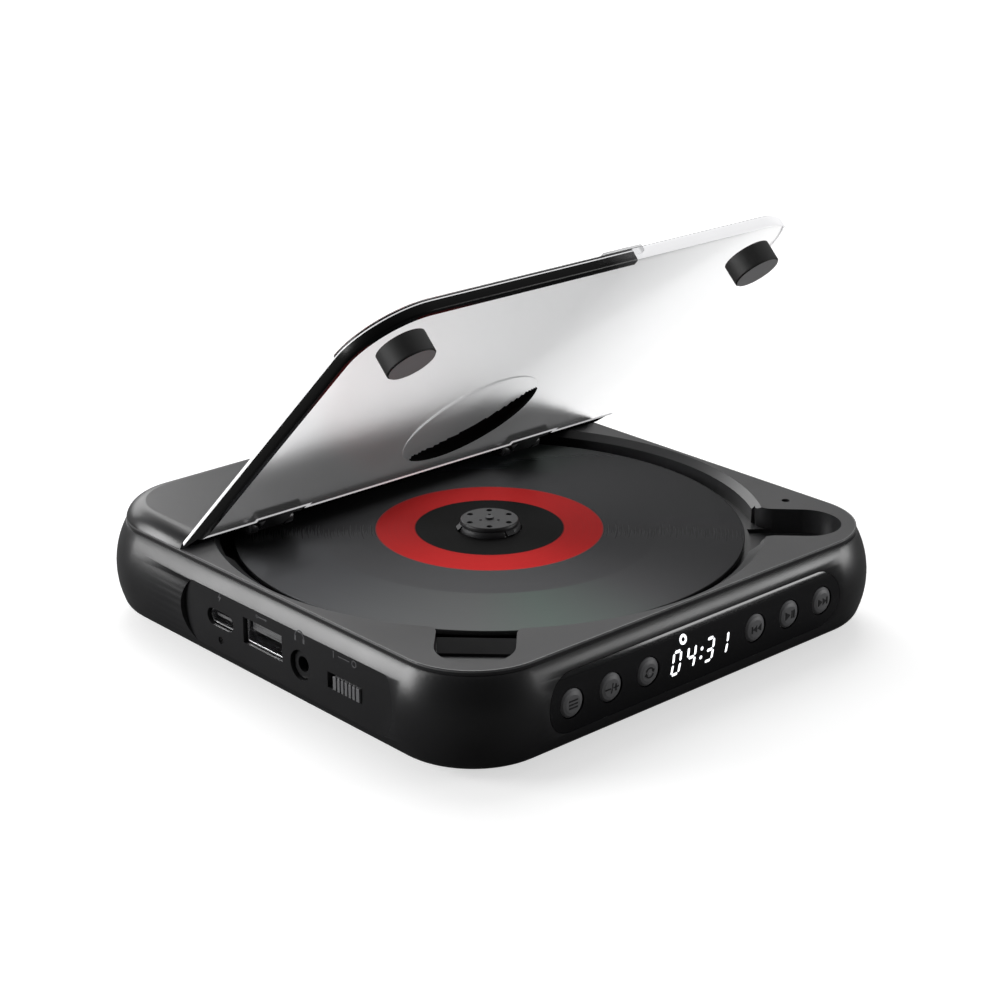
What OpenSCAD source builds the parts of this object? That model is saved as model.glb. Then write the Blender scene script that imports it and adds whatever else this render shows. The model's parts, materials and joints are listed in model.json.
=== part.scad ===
// Disc player for a shelf or a wall, with a clear lid that hinges up in front of a fixed rear cover.
// The origin is the middle of the underside, on the plane that the feet rest on.
// The display faces -Y, the sockets face -X, and the lid's hinge line runs along X.

/* [Disc] */
// Diameter of the disc
disc_d = 120; // [119:0.5:121]
// Thickness of the disc
disc_t = 1.2; // [1.1:0.05:1.3]
// Diameter of the disc's middle hole
disc_hole_d = 15; // [14.8:0.1:15.4]
// Gap between the disc's edge and the front half of the well
well_gap = 1.7; // [1:0.1:1.8]
// Extra width of the well past the front half's land
well_step = 1.7; // [1:0.1:1.7]

/* [Case] */
// Width and depth of the deck across its flat edges
deck_w = 132; // [131:0.5:140]
// Corner radius of the deck
corner_r = 18; // [12:1:24]
// How far the side walls bulge past the deck's edge
bulge = 3; // [2:0.25:4]
// Height of the deck's top face
deck_z = 24.5; // [24.5:0.25:28]
// Thickness of the deck's top plate
deck_t = 1.6; // [1.2:0.1:2]
// Height of the deck's edge above the seam
seam_drop = 1.2; // [0.8:0.1:1.4]
// Height of the widest part of the side walls
bulge_z = 12.5; // [11:0.5:13]
// Radius of the side walls' lower edge
toe_r = 4; // [3:0.25:5]
// Distance from the deck's edge to the wall's inner face
wall_inset = 1.2; // [1:0.1:1.4]
// Thickness of the base plate
base_t = 2; // [1.5:0.1:2.5]
// Height of the base plate's underside
base_z = 1.8; // [1.6:0.1:2.2]
// Depth of the corner skids below the base plate
skid_h = 1.3; // [0.8:0.1:1.4]

/* [Lid] */
// Angle that the lid stands open
lid_open = 45.25; // [0:0.25:60]
// Thickness of the lid
lid_t = 3.3; // [2.8:0.1:3.6]
// Gap between the closed lid and the deck
lid_gap = 0.2; // [0.1:0.05:0.4]
// Gap that the lid's rear end keeps from the rear cover as it swings
hinge_gap = 0.3; // [0.2:0.05:0.8]
// Distance from the disc's middle back to the rear edge of the closed lid's underside
lid_rear = 24.3; // [20:0.5:30]
// Distance that the lid's thin tail reaches back past that edge
lid_tail = 6.5; // [6:0.1:7]
// Thickness of the lid at the end of its tail
tail_t = 1.5; // [1.3:0.1:1.6]
// Distance from the underside's rear edge back to the hinge axis
hinge_back = 4.8; // [4.5:0.1:5.2]
// Places of the two hinges along X
hinge_x = [-43, 36];
// Width of the notch that a hinge arm fills in the lid
arm_w = 12.6; // [11:0.2:14]
// Diameter of a hinge pin
pin_d = 1.5; // [1:0.1:1.6]
// Diameter of the dish under the lid's middle
dish_d = 36; // [28:1:44]
// Depth of the dish
dish_depth = 2; // [1:0.1:2.2]
// Distance of the dish in front of the disc's middle, lid closed
dish_y = 1.5; // [0:0.25:2]
// Place of the finger tab across from the middle
tab_x = 4.3; // [-10:0.1:10]
// Diameter of a bumper
bumper_d = 11.4; // [8:0.1:12]
// Height of a bumper
bumper_h = 5.1; // [3:0.1:5.5]
// Distance of a bumper's middle from the deck's side
bumper_side = 13.7; // [13:0.1:15]
// Distance of a bumper's middle from the deck's front, lid closed
bumper_front = 11.4; // [11:0.1:13]
// How far the recess's round end is set back from its bumper, along X and Y
recess_back = [0.5, 1.9]; // [0:0.1:2]
// How much larger the recess's radius is than its bumper's
recess_room = 2.8; // [2.8:0.1:3.2]

/* [Display and buttons] */
// Length of the display window
window_w = 91.6; // [86:0.5:94]
// Height of the display window
window_h = 13.7; // [12:0.1:14]
// Height of the middle of the window
window_z = 13.2; // [12.5:0.1:13.5]
// Diameter of a button
button_d = 6.4; // [5:0.1:7]
// Distance between neighbouring buttons
button_pitch = 11.25; // [9:0.25:12]
// Distance of the middle button of each row of three from the middle
button_x = 28.2; // [27:0.1:29]
// Travel of a button
button_travel = 0.6; // [0.3:0.05:0.6]
// Height of a digit
digit_h = 5.8; // [4:0.1:7]
// Width of a digit
digit_w = 2.9; // [2:0.1:3.4]

/* [Sockets] */
// Depth of the socket panel's flat below the bulge
panel_depth = 1.2; // [0.8:0.1:1.6]
// Place of the charging socket along Y
usb_c_y = 14.7; // [13:0.1:16]
// Place of the disk socket along Y
usb_a_y = -0.9; // [-2:0.1:1]
// Place of the headphone socket along Y
jack_y = -14.3; // [-15:0.1:-13]
// Radius of the headphone socket's bore
jack_bore_r = 1.8; // [1.78:0.01:1.85]
// Place of the power switch's slot along Y
switch_y = -29.4; // [-31:0.1:-27]
// Travel of the power switch
switch_travel = 2.2; // [1:0.1:2.4]

/* [Mechanism] */
// Height of the disc's underside
disc_z = 20.6; // [20.2:0.1:20.8]
// Gap between the disc and the well's floor
floor_gap = 1.4; // [1:0.1:1.6]
// Radius of the pickup's innermost place
pickup_in = 24; // [23:0.5:26]
// Travel of the pickup
pickup_travel = 34; // [20:1:34]
// Distance of each guide rod from the middle
rod_x = 19; // [17:0.5:21]
// Diameter of the guide rods and the lead screw
rod_d = 3; // [2:0.1:3.4]
// Height of the rods and the lead screw
rod_z = 9; // [8.5:0.1:9.5]
// Distance between the two wall hooks' keyholes
keyhole_pitch = 60; // [56:1:62]

/* [Hidden] */
$fn = 72;

// Clearances: touching but free, round a part that moves, and a running fit on a pin
near = 0.1;
free = 0.2;
run = 0.05;
// Overlap that lets a cut pass clean through
cut = 1;

// Case
deck_half = deck_w / 2;
corner_c = deck_half - corner_r;
wall_in = deck_half - wall_inset;
edge_out = deck_half + bulge;
seam_z = deck_z - seam_drop;
seam_ledge = 0.24;
bulge_sag = bulge - seam_ledge;
bulge_r = (pow(seam_z - bulge_z, 2) + pow(bulge_sag, 2)) / (2 * bulge_sag);
bulge_u = edge_out - bulge_r;
toe_z = base_z + toe_r;
toe_u = bulge_u + sqrt(pow(bulge_r - toe_r, 2) - pow(bulge_z - toe_z, 2));
base_top = base_z + base_t;
base_half = wall_in - free;
base_corner_r = base_half - corner_c;

// Corner skids, feet and the screws above them
skid_z = base_z - skid_h;
skid_inset = 2.5;
skid_from = 37;
foot_r = 7;
foot_z = 1.3;
boss_xy = corner_c + 4;
boss_r = 4;
boss_z = base_top + 1.2;
rib_top = 14;
screw_r = 1.4;
screw_head_r = 2.8;
screw_head_h = 1.6;
base_screw_len = 8;
deck_screw_len = 5;
deck_screw_head = [2.4, 1.1];
driver_w = 3;
driver_t = 0.6;
driver_depth = 0.7;

// Well and deck
deck_under = deck_z - deck_t;
land_r = disc_d / 2 + well_gap;
well_r = land_r + well_step;
well_wall = 1;
well_edge_r = well_r + deck_t;
floor_top = disc_z - floor_gap;
floor_t = 1.2;
floor_z = floor_top - floor_t;
land_drop = 2.5;
land_angles = [158, 306];
spindle_hole_r = 15;
pickup_window_w = 18;

// Recesses that the lid's bumpers drop into
bumper_x = deck_half - bumper_side;
bumper_y = deck_half - bumper_front;
bumper_r = bumper_d / 2;
lid_z = deck_z + lid_gap;
recess_at = [bumper_x - recess_back[0], bumper_y - recess_back[1]];
recess_r = bumper_r + recess_room;
recess_wall = 1.2;
recess_top = lid_z - bumper_h - 1.3;
recess_len = norm(recess_at);
recess_turn = atan2(recess_at[1], recess_at[0]);
flare_r = 4;
flare_x = well_r + flare_r - 0.5;
sensor_inset = [6.5, 25.9];
sensor_xy = [deck_half - sensor_inset[0], sensor_inset[1] - deck_half];
sensor_r = 1;

// Rear cover
cover_top = lid_z + lid_t;
cover_t = 1.8;
pivot_y = lid_rear + hinge_back;
pivot_z = lid_z + 1.5;
lid_end = lid_rear + lid_tail;
cover_front = pivot_y + norm([lid_end - pivot_y, cover_top - pivot_z]) + hinge_gap;
cover_edge_r = 5;
cover_edge_z = cover_top - cover_edge_r;
cover_edge_u = deck_half - sqrt(pow(cover_edge_r, 2) - pow(deck_z - cover_edge_z, 2));

// Hinge: a knuckle on the lid's arm between two ears of the rear cover, all in the notch
pin_r = pin_d / 2;
ear_w = 2.2;
ear_r = 1.7;
knuckle_r = 1.5;
knuckle_w = arm_w - 2 * (ear_w + near + free);
arm_in = 1.2;
pin_len = arm_w - 2 * near;

// Lid
lid_half = deck_half - 0.4;
lid_front = -deck_half - 0.3;
lid_corner_r = corner_r - 2;
tab_w = 11.6;
tab_out = 1.2;
tab_t = 2;
lid_bevel = 0.35;

// Display and buttons
window_back = edge_out - 2.8;
display_w = 23;
display_h = 9.2;
display_z = 13.3;
digit_z = 12.7;
stroke = 0.7;
slant = 0.17;
digit_at = [-8.3, -3.7, 2.1, 6.7];
colon_x = -0.5;
colon_step = 1;
colon_r = 0.45;
mark_xz = [-5.9, 17.4];
mark_r = 1.15;
mark_hole_r = 0.5;
button_z = window_z + 0.1;
button_proud = 0.4;
flange_r = button_d / 2 + 0.7;
flange_t = 0.8;
stem_r = 1.8;
stem_y = -wall_in + 0.5;
front_board_y = -wall_in + 2.2;
front_board_t = 1.2;
front_board_w = window_w + 0.4;
front_board_z = 5;
front_board_h = 12.6;
ledge_x = 36;
ledge_half = 4;
ledge_wall = 1;
tact_half = 2.2;
tact_r = 1.1;
tact_step = 0.4;
tact_y = stem_y + button_travel + near;

// Socket panel
panel_x = edge_out - panel_depth;
panel_y = [-46.4, 28.3];
panel_mid_z = 13;
panel_h = 18;
socket_x = -panel_x + 0.9;
board_z = 9;
board_t = 1.2;
board_top = board_z + board_t;
board_x = [-wall_in + 0.3, -39.5];
board_y = [-48, 34];
post_r = 3;
post_edge = 4;
board_posts = [
    for (x = [board_x[0] + post_edge + 0.5, board_x[1] - post_edge],
         y = [board_y[1] - post_edge, board_y[0] + post_edge + 2]) [x, y]
];
board_screw_len = 5;
board_screw_head = [2.4, 1.3];
// Each chip's corner, from the board's inner edge and the middle, and its size
chip_from = [[-10.5, 10], [-10.5, -6], [-9.5, -26]];
chip_size = [[8, 8, 1.2], [7, 7, 1], [5, 6, 1]];
capacitor_from = [[-12.5, -32], [-12.5, -38]];
capacitor_r = 2.2;
capacitor_h = 5;
usb_c_z = 13.2;
usb_c_size = [8, 9.2, 3.4];
usb_a_z = 13.7;
usb_a_size = [14, 13.4, 5.8];
jack_z = 12;
jack_r = 3.2;
jack_len = 14;
jack_body = jack_r + 0.4;
switch_z = 12.1;
knob_size = [3.1, 8.8, 3.1];
slot_w = knob_size[1] + switch_travel + 2 * free;
light_yz = [14.8, 8.1];
light_r = 0.85;

// Mechanism
chassis_z = 12.6;
chassis_t = 1.2;
chassis_top = chassis_z + chassis_t;
chassis_y = [-20, wall_in - 0.6];
damper_x = 35;
damper_y = [-15, 57];
damper_screw_head = [3, 1.3];
chassis_x = damper_x + 5;
damper_at = [for (x = [-damper_x, damper_x], y = damper_y) [x, y]];
damper_r = 4.5;
damper_neck_r = 3;
damper_low = 1.8;
damper_high = 1.4;
rod_r = rod_d / 2;
rod_y = [9, 63];
screw_x = 27;
screw_y = [-2, 62];
sled_motor_r = 3.5;
sled_motor_y = [-9, 4];
motor_r = 12;
motor_z = 6.6;
shaft_r = 1;
pickup_back = 10.5;
pickup_front = 4.4;
pickup_half = 22;
nose_half = 13;
pickup_bottom = rod_z - 2.8;
pickup_top = chassis_z - 0.6;
turret_half = 6.5;
turret_top = floor_z - 0.6;
lens_r = 2.4;
lens_wall = 0.8;
lens_hole_r = lens_r + lens_wall + 0.3;
lens_top = floor_top - 0.3;
limit_size = [5, 3, 3.2];
limit_x = -rod_x + 4;
platter_r = 13.5;
hub_r = disc_hole_d / 2 - 0.15;
hub_top = disc_z + disc_t + 2.2;
hub_cap_t = 1.1;
hub_hole_r = 0.75;
hub_hole_turn = 48;
hub_mark_r = 0.4;
disc_top = disc_z + disc_t;

// Wall hooks
keyhole_y = 42;
keyhole_entry_r = 4.2;
keyhole_slot_r = 2.1;
keyhole_run = 8;

// Battery
battery_size = [24, 58, 6];
battery_edge_r = 1.5;
battery_at = [wall_in - 1.1 - battery_size[0] / 2, -1];
pad_t = 0.3;

// Square outline with round corners, half its width and its corner radius given
module round_square(half, r) {
    square([2 * half, 2 * (half - r)], center = true);
    square([2 * (half - r), 2 * half], center = true);
    for (x = [-1, 1], y = [-1, 1])
        translate([x * (half - r), y * (half - r)])
            circle(r);
}

// Rectangle with round corners, from its lower left corner
module round_box(w, h, r) {
    translate([r, 0])
        square([w - 2 * r, h]);
    translate([0, r])
        square([w, h - 2 * r]);
    for (x = [r, w - r], y = [r, h - r])
        translate([x, y])
            circle(r);
}

// Outline with half-round ends, w long and h high
module pill(w, h) {
    square([w - h, h], center = true);
    for (x = [-1, 1])
        translate([x * (w - h) / 2, 0])
            circle(h / 2);
}

// Carries a section of distance and height round the case's rounded square
module sweep_case() {
    for (i = [0:3])
        rotate(90 * i) {
            rotate([90, 0, 0])
                linear_extrude(2 * corner_c, center = true)
                    children();
            translate([corner_c, corner_c])
                rotate_extrude(angle = 90)
                    translate([-corner_c, 0])
                        children();
        }
}

// Stands an X-Z outline up, from depth y0 back to depth y1
module facing_front(y0, y1) {
    translate([0, y1, 0])
        rotate([90, 0, 0])
            linear_extrude(y1 - y0)
                children();
}

// Stands a Y-Z outline up, from x0 to x1
module facing_left(x0, x1) {
    translate([x0, 0, 0])
        rotate([90, 0, 90])
            linear_extrude(x1 - x0)
                children();
}

// Round bar along X, and along Y
module bar_x(x0, x1, y, z, r) {
    translate([x0, y, z])
        rotate([0, 90, 0])
            cylinder(h = x1 - x0, r = r);
}

module bar_y(x, y0, y1, z, r) {
    translate([x, y0, z])
        rotate([-90, 0, 0])
            cylinder(h = y1 - y0, r = r);
}

// Block between two corners
module block(low, high) {
    translate(low)
        cube(high - low);
}

// Pan-head screw with its head above z and its shank below
module screw_down(z, length, head = [screw_head_r, screw_head_h]) {
    translate([0, 0, z])
        difference() {
            cylinder(h = head[1], r = head[0]);
            translate([0, 0, head[1] - driver_depth])
                for (a = [0, 90])
                    rotate(a)
                        translate([-driver_w / 2, -driver_t / 2, 0])
                            cube([driver_w, driver_t, driver_depth + cut]);
        }
    translate([0, 0, z - length])
        cylinder(h = length, r = screw_r);
}

module at_bosses() {
    for (x = [-1, 1], y = [-1, 1])
        translate([x * boss_xy, y * boss_xy, 0])
            children();
}

// Section of the side wall: one round bulge that runs into a smaller toe
module wall_section() {
    toe_way = [toe_u - bulge_u, toe_z - bulge_z] / (bulge_r - toe_r);
    difference() {
        intersection() {
            translate([bulge_u, bulge_z])
                circle(bulge_r, $fn = 180);
            translate([wall_in, base_z])
                square([edge_out, seam_z - base_z]);
        }
        difference() {
            polygon([
                [toe_u, toe_z],
                [toe_u, toe_z] + 3 * toe_r * toe_way,
                [edge_out + toe_r, -toe_r],
                [toe_u, -toe_r]
            ]);
            translate([toe_u, toe_z])
                circle(toe_r);
        }
    }
}

// The front bosses end under the lid's recesses, and the rear ones carry the deck
function boss_top(end) = end < 0 ? recess_top - recess_wall - near : deck_under;

module main_housing() {
    color([0.035, 0.035, 0.04])
        difference() {
            union() {
                sweep_case()
                    wall_section();
                for (x = [-1, 1], end = [-1, 1])
                    translate([x * boss_xy, end * boss_xy, boss_z])
                        cylinder(h = boss_top(end) - boss_z, r = boss_r);
                for (a = [0:3])
                    rotate(45 + 90 * a)
                        block([norm([boss_xy, boss_xy]) + screw_r + cut, -1, boss_z],
                              [norm([corner_c, corner_c]) + wall_in - corner_c + 0.5, 1, rib_top]);
            }
            at_bosses()
                translate([0, 0, boss_z - cut])
                    cylinder(h = base_screw_len + cut + 1, r = screw_r);
            for (x = [-1, 1])
                translate([x * boss_xy, boss_xy, deck_under - deck_screw_len])
                    cylinder(h = deck_screw_len, r = screw_r);
            facing_front(-edge_out - cut, -window_back)
                translate([0, window_z])
                    pill(window_w + 2 * near, window_h + 2 * near);
            facing_front(-window_back - cut, -wall_in + cut)
                translate([0, display_z])
                    square([display_w + 2 * free, display_h + 2 * free], center = true);
            at_buttons()
                bar_y(0, -window_back - cut, -wall_in + cut, 0, flange_r + free);
            socket_panel_cuts();
        }
}

// Flat of the socket panel and the holes through it
module socket_panel_cuts() {
    facing_left(-edge_out - cut, -panel_x)
        translate([(panel_y[0] + panel_y[1]) / 2, panel_mid_z])
            pill(panel_y[1] - panel_y[0], panel_h);
    facing_left(-edge_out, -wall_in + cut) {
        translate([usb_c_y, usb_c_z])
            pill(usb_c_size[1] + 0.6, usb_c_size[2] + 0.6);
        translate([usb_a_y, usb_a_z])
            square([usb_a_size[1] + 0.6, usb_a_size[2] + 0.4], center = true);
        translate([jack_y, jack_z])
            circle(jack_r + 0.3);
        translate([switch_y, switch_z])
            square([slot_w, knob_size[2] + 2 * free + 0.2], center = true);
        translate(light_yz)
            circle(light_r + 0.05);
    }
}

module keyhole_cut() {
    linear_extrude(base_t + 2 * cut) {
        circle(keyhole_entry_r);
        translate([-keyhole_slot_r, 0])
            square([2 * keyhole_slot_r, keyhole_run]);
        translate([0, keyhole_run])
            circle(keyhole_slot_r);
    }
}

module base_cover() {
    color([0.05, 0.05, 0.055])
        difference() {
            union() {
                translate([0, 0, base_z])
                    linear_extrude(base_t)
                        round_square(base_half, base_corner_r);
                translate([0, 0, skid_z])
                    linear_extrude(skid_h + near)
                        intersection() {
                            round_square(base_half - skid_inset, base_corner_r - skid_inset);
                            for (x = [-1, 1], y = [-1, 1])
                                translate([x, y] * (skid_from + deck_half) / 2)
                                    square(deck_half - skid_from, center = true);
                        }
                at_bosses()
                    translate([0, 0, base_z])
                        cylinder(h = boss_z - base_z, r = boss_r + 1);
                for (p = board_posts)
                    translate([p[0], p[1], base_z])
                        cylinder(h = board_z - base_z, r = post_r);
                for (p = damper_at)
                    translate([p[0], p[1], base_z])
                        cylinder(h = chassis_z - damper_low - base_z, r = post_r);
            }
            at_bosses() {
                translate([0, 0, skid_z - cut])
                    cylinder(h = foot_z - skid_z + cut, r = foot_r + near);
                translate([0, 0, skid_z])
                    cylinder(h = base_top, r = screw_head_r + 0.3);
                translate([0, 0, skid_z])
                    cylinder(h = 2 * boss_z, r = screw_r + near);
            }
            for (p = concat(board_posts, damper_at))
                translate([p[0], p[1], base_top + 1])
                    cylinder(h = 20, r = screw_r);
            for (x = [-1, 1])
                translate([x * keyhole_pitch / 2, keyhole_y - keyhole_run / 2, base_z - cut])
                    keyhole_cut();
        }
}

module rubber_feet() {
    color([0.02, 0.02, 0.02])
        at_bosses()
            rotate_extrude()
                polygon([[0, 0], [foot_r - 0.4, 0], [foot_r, 0.4], [foot_r, foot_z], [0, foot_z]]);
}

// The heads lie in the counterbores above the feet
module base_screws() {
    color([0.6, 0.6, 0.62])
        at_bosses()
            mirror([0, 0, 1])
                screw_down(-(skid_z + base_top), base_screw_len + boss_z - skid_z - base_top);
}

// Places a recess's plan, with its round end round a bumper, on the right (1) or the left (-1)
module at_recess(side) {
    rotate(side > 0 ? -recess_turn : 180 + recess_turn)
        children();
}

module recess_plan(grow) {
    translate([recess_len, 0])
        circle(recess_r + grow);
    translate([land_r - 6, -recess_r - grow])
        square([recess_len - land_r + 6, 2 * (recess_r + grow)]);
}

// Widens a recess where it meets the well, with a round at each corner
module recess_flare() {
    difference() {
        translate([land_r - 6, -recess_r - flare_r])
            square([flare_x - land_r + 6, 2 * (recess_r + flare_r)]);
        for (y = [-1, 1])
            translate([flare_x, y * (recess_r + flare_r)])
                circle(flare_r);
    }
}

// Low floor of the left recess, which rises to the well so that a finger slides off the disc
module recess_ramp() {
    ramp_in = land_r + 0.8;
    ramp_out = recess_len - recess_r - near;
    at_recess(-1)
        translate([0, recess_r + near, 0])
            rotate([90, 0, 0])
                linear_extrude(2 * (recess_r + near))
                    polygon([
                        [ramp_in, recess_top - near],
                        [ramp_in, disc_top - 0.5],
                        [ramp_out, recess_top + 0.6],
                        [ramp_out, recess_top - near]
                    ]);
}

module top_deck() {
    color([0.13, 0.13, 0.135])
        difference() {
            union() {
                translate([0, 0, seam_z])
                    linear_extrude(deck_z - seam_z)
                        round_square(deck_half, corner_r);
                translate([0, 0, deck_under])
                    linear_extrude(deck_t)
                        round_square(wall_in - near, wall_in - near - corner_c);
                translate([0, 0, floor_z])
                    cylinder(h = deck_under + near - floor_z, r = well_r + well_wall, $fn = 180);
                for (side = [-1, 1])
                    at_recess(side)
                        translate([0, 0, recess_top - recess_wall])
                            linear_extrude(deck_under + near - recess_top + recess_wall)
                                difference() {
                                    union() {
                                        recess_plan(recess_wall);
                                        translate([land_r, -recess_r - flare_r - recess_wall])
                                            square([flare_x - land_r + recess_wall,
                                                    2 * (recess_r + flare_r + recess_wall)]);
                                    }
                                    circle(land_r, $fn = 180);
                                }
            }
            rotate_extrude($fn = 180)
                polygon([
                    [0, floor_top], [land_r, floor_top], [land_r, deck_z - land_drop],
                    [well_edge_r, deck_z], [well_edge_r, deck_z + cut], [0, deck_z + cut]
                ]);
            rotate(land_angles[1])
                rotate_extrude(angle = 360 - land_angles[1] + land_angles[0], $fn = 180)
                    polygon([
                        [land_r - cut, floor_top], [well_r, floor_top], [well_r, deck_under],
                        [well_edge_r, deck_z], [well_edge_r, deck_z + cut], [land_r - cut, deck_z + cut]
                    ]);
            for (side = [-1, 1])
                at_recess(side) {
                    translate([0, 0, recess_top])
                        linear_extrude(deck_z)
                            difference() {
                                recess_plan(0);
                                circle(land_r - near, $fn = 180);
                            }
                    translate([0, 0, floor_top + near])
                        linear_extrude(deck_z)
                            recess_flare();
                }
            translate([0, 0, floor_z - cut])
                cylinder(h = floor_t + 2 * cut, r = spindle_hole_r);
            block([-pickup_window_w / 2, 0, floor_z - cut],
                  [pickup_window_w / 2, pickup_in + pickup_travel + lens_r + 1, floor_top + cut]);
            translate([sensor_xy[0], sensor_xy[1], deck_under - cut])
                cylinder(h = deck_t + 2 * cut, r = sensor_r);
            for (x = [-1, 1])
                translate([x * boss_xy, boss_xy, deck_under - cut])
                    cylinder(h = deck_t + 2 * cut, r = screw_r + near);
        }
    color([0.13, 0.13, 0.135])
        recess_ramp();
}

// Two screws under the rear cover, down into posts that stand on the rear bosses
module deck_screws() {
    color([0.6, 0.6, 0.62])
        for (x = [-1, 1])
            translate([x * boss_xy, boss_xy, 0])
                screw_down(deck_z, deck_t + deck_screw_len - 0.5, deck_screw_head);
}

// Section of the rear cover's rounded rim
module cover_section() {
    difference() {
        intersection() {
            translate([cover_edge_u, cover_edge_z])
                circle(cover_edge_r);
            translate([cover_edge_u, deck_z])
                square([cover_edge_r + cut, cover_top - deck_z]);
        }
        translate([cover_edge_u, cover_edge_z])
            circle(cover_edge_r - cover_t);
    }
}

module rear_cover() {
    color([0.13, 0.13, 0.135])
        difference() {
            union() {
                intersection() {
                    union() {
                        sweep_case()
                            cover_section();
                        translate([0, 0, cover_top - cover_t])
                            linear_extrude(cover_t)
                                round_square(cover_edge_u + near, cover_edge_u + near - corner_c);
                    }
                    block([-deck_w, cover_front, 0], [deck_w, deck_w, cover_top]);
                }
                for (x = hinge_x, side = [-1, 1])
                    translate([x + side * (knuckle_w / 2 + near + ear_w / 2), 0, 0]) {
                        bar_x(-ear_w / 2, ear_w / 2, pivot_y, pivot_z, ear_r);
                        block([-ear_w / 2, pivot_y, pivot_z - ear_r],
                              [ear_w / 2, cover_front + cover_t, pivot_z + ear_r]);
                    }
            }
            for (x = hinge_x)
                bar_x(x - pin_len / 2, x + pin_len / 2, pivot_y, pivot_z, pin_r);
            translate([-deck_w, cover_front, cover_top])
                rotate([45, 0, 0])
                    cube([4 * deck_w, 0.6, 0.6], center = true);
            for (x = [-1, 1])
                translate([x * boss_xy, boss_xy, deck_z - cut])
                    cylinder(h = 2.2 + cut - near, r = 2.8);
        }
}

module hinge_pins() {
    color([0.75, 0.75, 0.77])
        for (x = hinge_x)
            bar_x(x - pin_len / 2, x + pin_len / 2, pivot_y, pivot_z, pin_r);
}

// Swings a closed-lid piece up to its rest angle
module lid_pose() {
    translate([0, pivot_y, pivot_z])
        rotate([-lid_open, 0, 0])
            translate([0, -pivot_y, -pivot_z])
                children();
}

module lid_plan(inset) {
    half = lid_half - inset;
    r = lid_corner_r - inset;
    front = lid_front + inset;
    translate([-half, front + r])
        square([2 * half, lid_end - inset - front - r]);
    translate([-half + r, front])
        square([2 * (half - r), r]);
    for (x = [-1, 1])
        translate([x * (half - r), front + r])
            circle(r);
}

module clear_lid() {
    color([0.8, 0.82, 0.85, 0.4])
        lid_pose()
            difference() {
                union() {
                    translate([0, 0, lid_z + lid_bevel])
                        linear_extrude(lid_t - lid_bevel)
                            lid_plan(0);
                    translate([0, 0, lid_z])
                        linear_extrude(lid_bevel)
                            lid_plan(lid_bevel);
                    block([tab_x - tab_w / 2, lid_front - tab_out, cover_top - tab_t],
                          [tab_x + tab_w / 2, lid_front + near, cover_top - near]);
                }
                translate([0, -dish_y, lid_z - cut])
                    cylinder(h = dish_depth + cut, r = dish_d / 2);
                facing_left(-deck_half, deck_half)
                    polygon([
                        [lid_rear, lid_z], [lid_end, cover_top - tail_t],
                        [lid_end + cut, cover_top - tail_t], [lid_end + cut, lid_z - cut],
                        [lid_rear, lid_z - cut]
                    ]);
                for (x = hinge_x)
                    block([x - arm_w / 2, lid_rear - arm_in, lid_z - cut],
                          [x + arm_w / 2, lid_end + cut, cover_top + cut]);
            }
}

module hinge_arms() {
    color([0.03, 0.03, 0.03])
        lid_pose()
            for (x = hinge_x)
                difference() {
                    union() {
                        block([x - arm_w / 2, lid_rear - arm_in, lid_z],
                              [x + arm_w / 2, lid_rear, cover_top]);
                        block([x - knuckle_w / 2, lid_rear - near, pivot_z - knuckle_r],
                              [x + knuckle_w / 2, pivot_y, pivot_z + knuckle_r]);
                        bar_x(x - knuckle_w / 2, x + knuckle_w / 2, pivot_y, pivot_z, knuckle_r);
                    }
                    bar_x(x - arm_w, x + arm_w, pivot_y, pivot_z, pin_r + run);
                }
}

module lid_bumper(side) {
    color([0.08, 0.08, 0.085])
        lid_pose()
            translate([side * bumper_x, -bumper_y, lid_z - bumper_h])
                rotate_extrude()
                    polygon([
                        [0, 0], [bumper_r - 0.3, 0], [bumper_r, 0.3], [bumper_r, bumper_h], [0, bumper_h]
                    ]);
}

module lid_bumper_left() {
    lid_bumper(-1);
}

module lid_bumper_right() {
    lid_bumper(1);
}

// Round wall of the front, which the window and the digits follow
module front_bulge(inset) {
    bar_x(-deck_half, deck_half, -bulge_u, bulge_z, bulge_r - inset, $fn = 180);
}

module display_window() {
    color([0.01, 0.01, 0.012])
        difference() {
            intersection() {
                facing_front(-edge_out - cut, -window_back)
                    translate([0, window_z])
                        pill(window_w, window_h);
                front_bulge(0);
            }
            at_buttons()
                bar_y(0, -edge_out - cut, -window_back + cut, 0, button_d / 2 + free);
            facing_front(-edge_out - cut, -window_back + cut)
                readout_plan();
        }
}

module display_module() {
    color([0.2, 0.2, 0.22])
        facing_front(-window_back, front_board_y)
            translate([0, display_z])
                square([display_w, display_h], center = true);
}

// One bar of a digit, between two points of the digit's own grid
module bar_between(a, b) {
    way = (b - a) / norm(b - a);
    side = [-way[1], way[0]] * stroke / 2;
    from = a + way * stroke * 0.65;
    to = b - way * stroke * 0.65;
    polygon([
        from + side, from + way * -stroke * 0.4, from - side,
        to - side, to + way * stroke * 0.4, to + side
    ]);
}

// The seven bars: top, two on the right, bottom, two on the left, middle
BARS = [
    [[0, 1], [1, 1]], [[1, 1], [1, 0.5]], [[1, 0.5], [1, 0]], [[0, 0], [1, 0]],
    [[0, 0.5], [0, 0]], [[0, 1], [0, 0.5]], [[0, 0.5], [1, 0.5]]
];

module digit(lit) {
    size = [digit_w - stroke, digit_h - stroke];
    multmatrix([[1, slant, 0, 0], [0, 1, 0, 0], [0, 0, 1, 0], [0, 0, 0, 1]])
        for (i = lit) {
            a = [(BARS[i][0][0] - 0.5) * size[0], (BARS[i][0][1] - 0.5) * size[1]];
            b = [(BARS[i][1][0] - 0.5) * size[0], (BARS[i][1][1] - 0.5) * size[1]];
            bar_between(a, b);
        }
}

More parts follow.
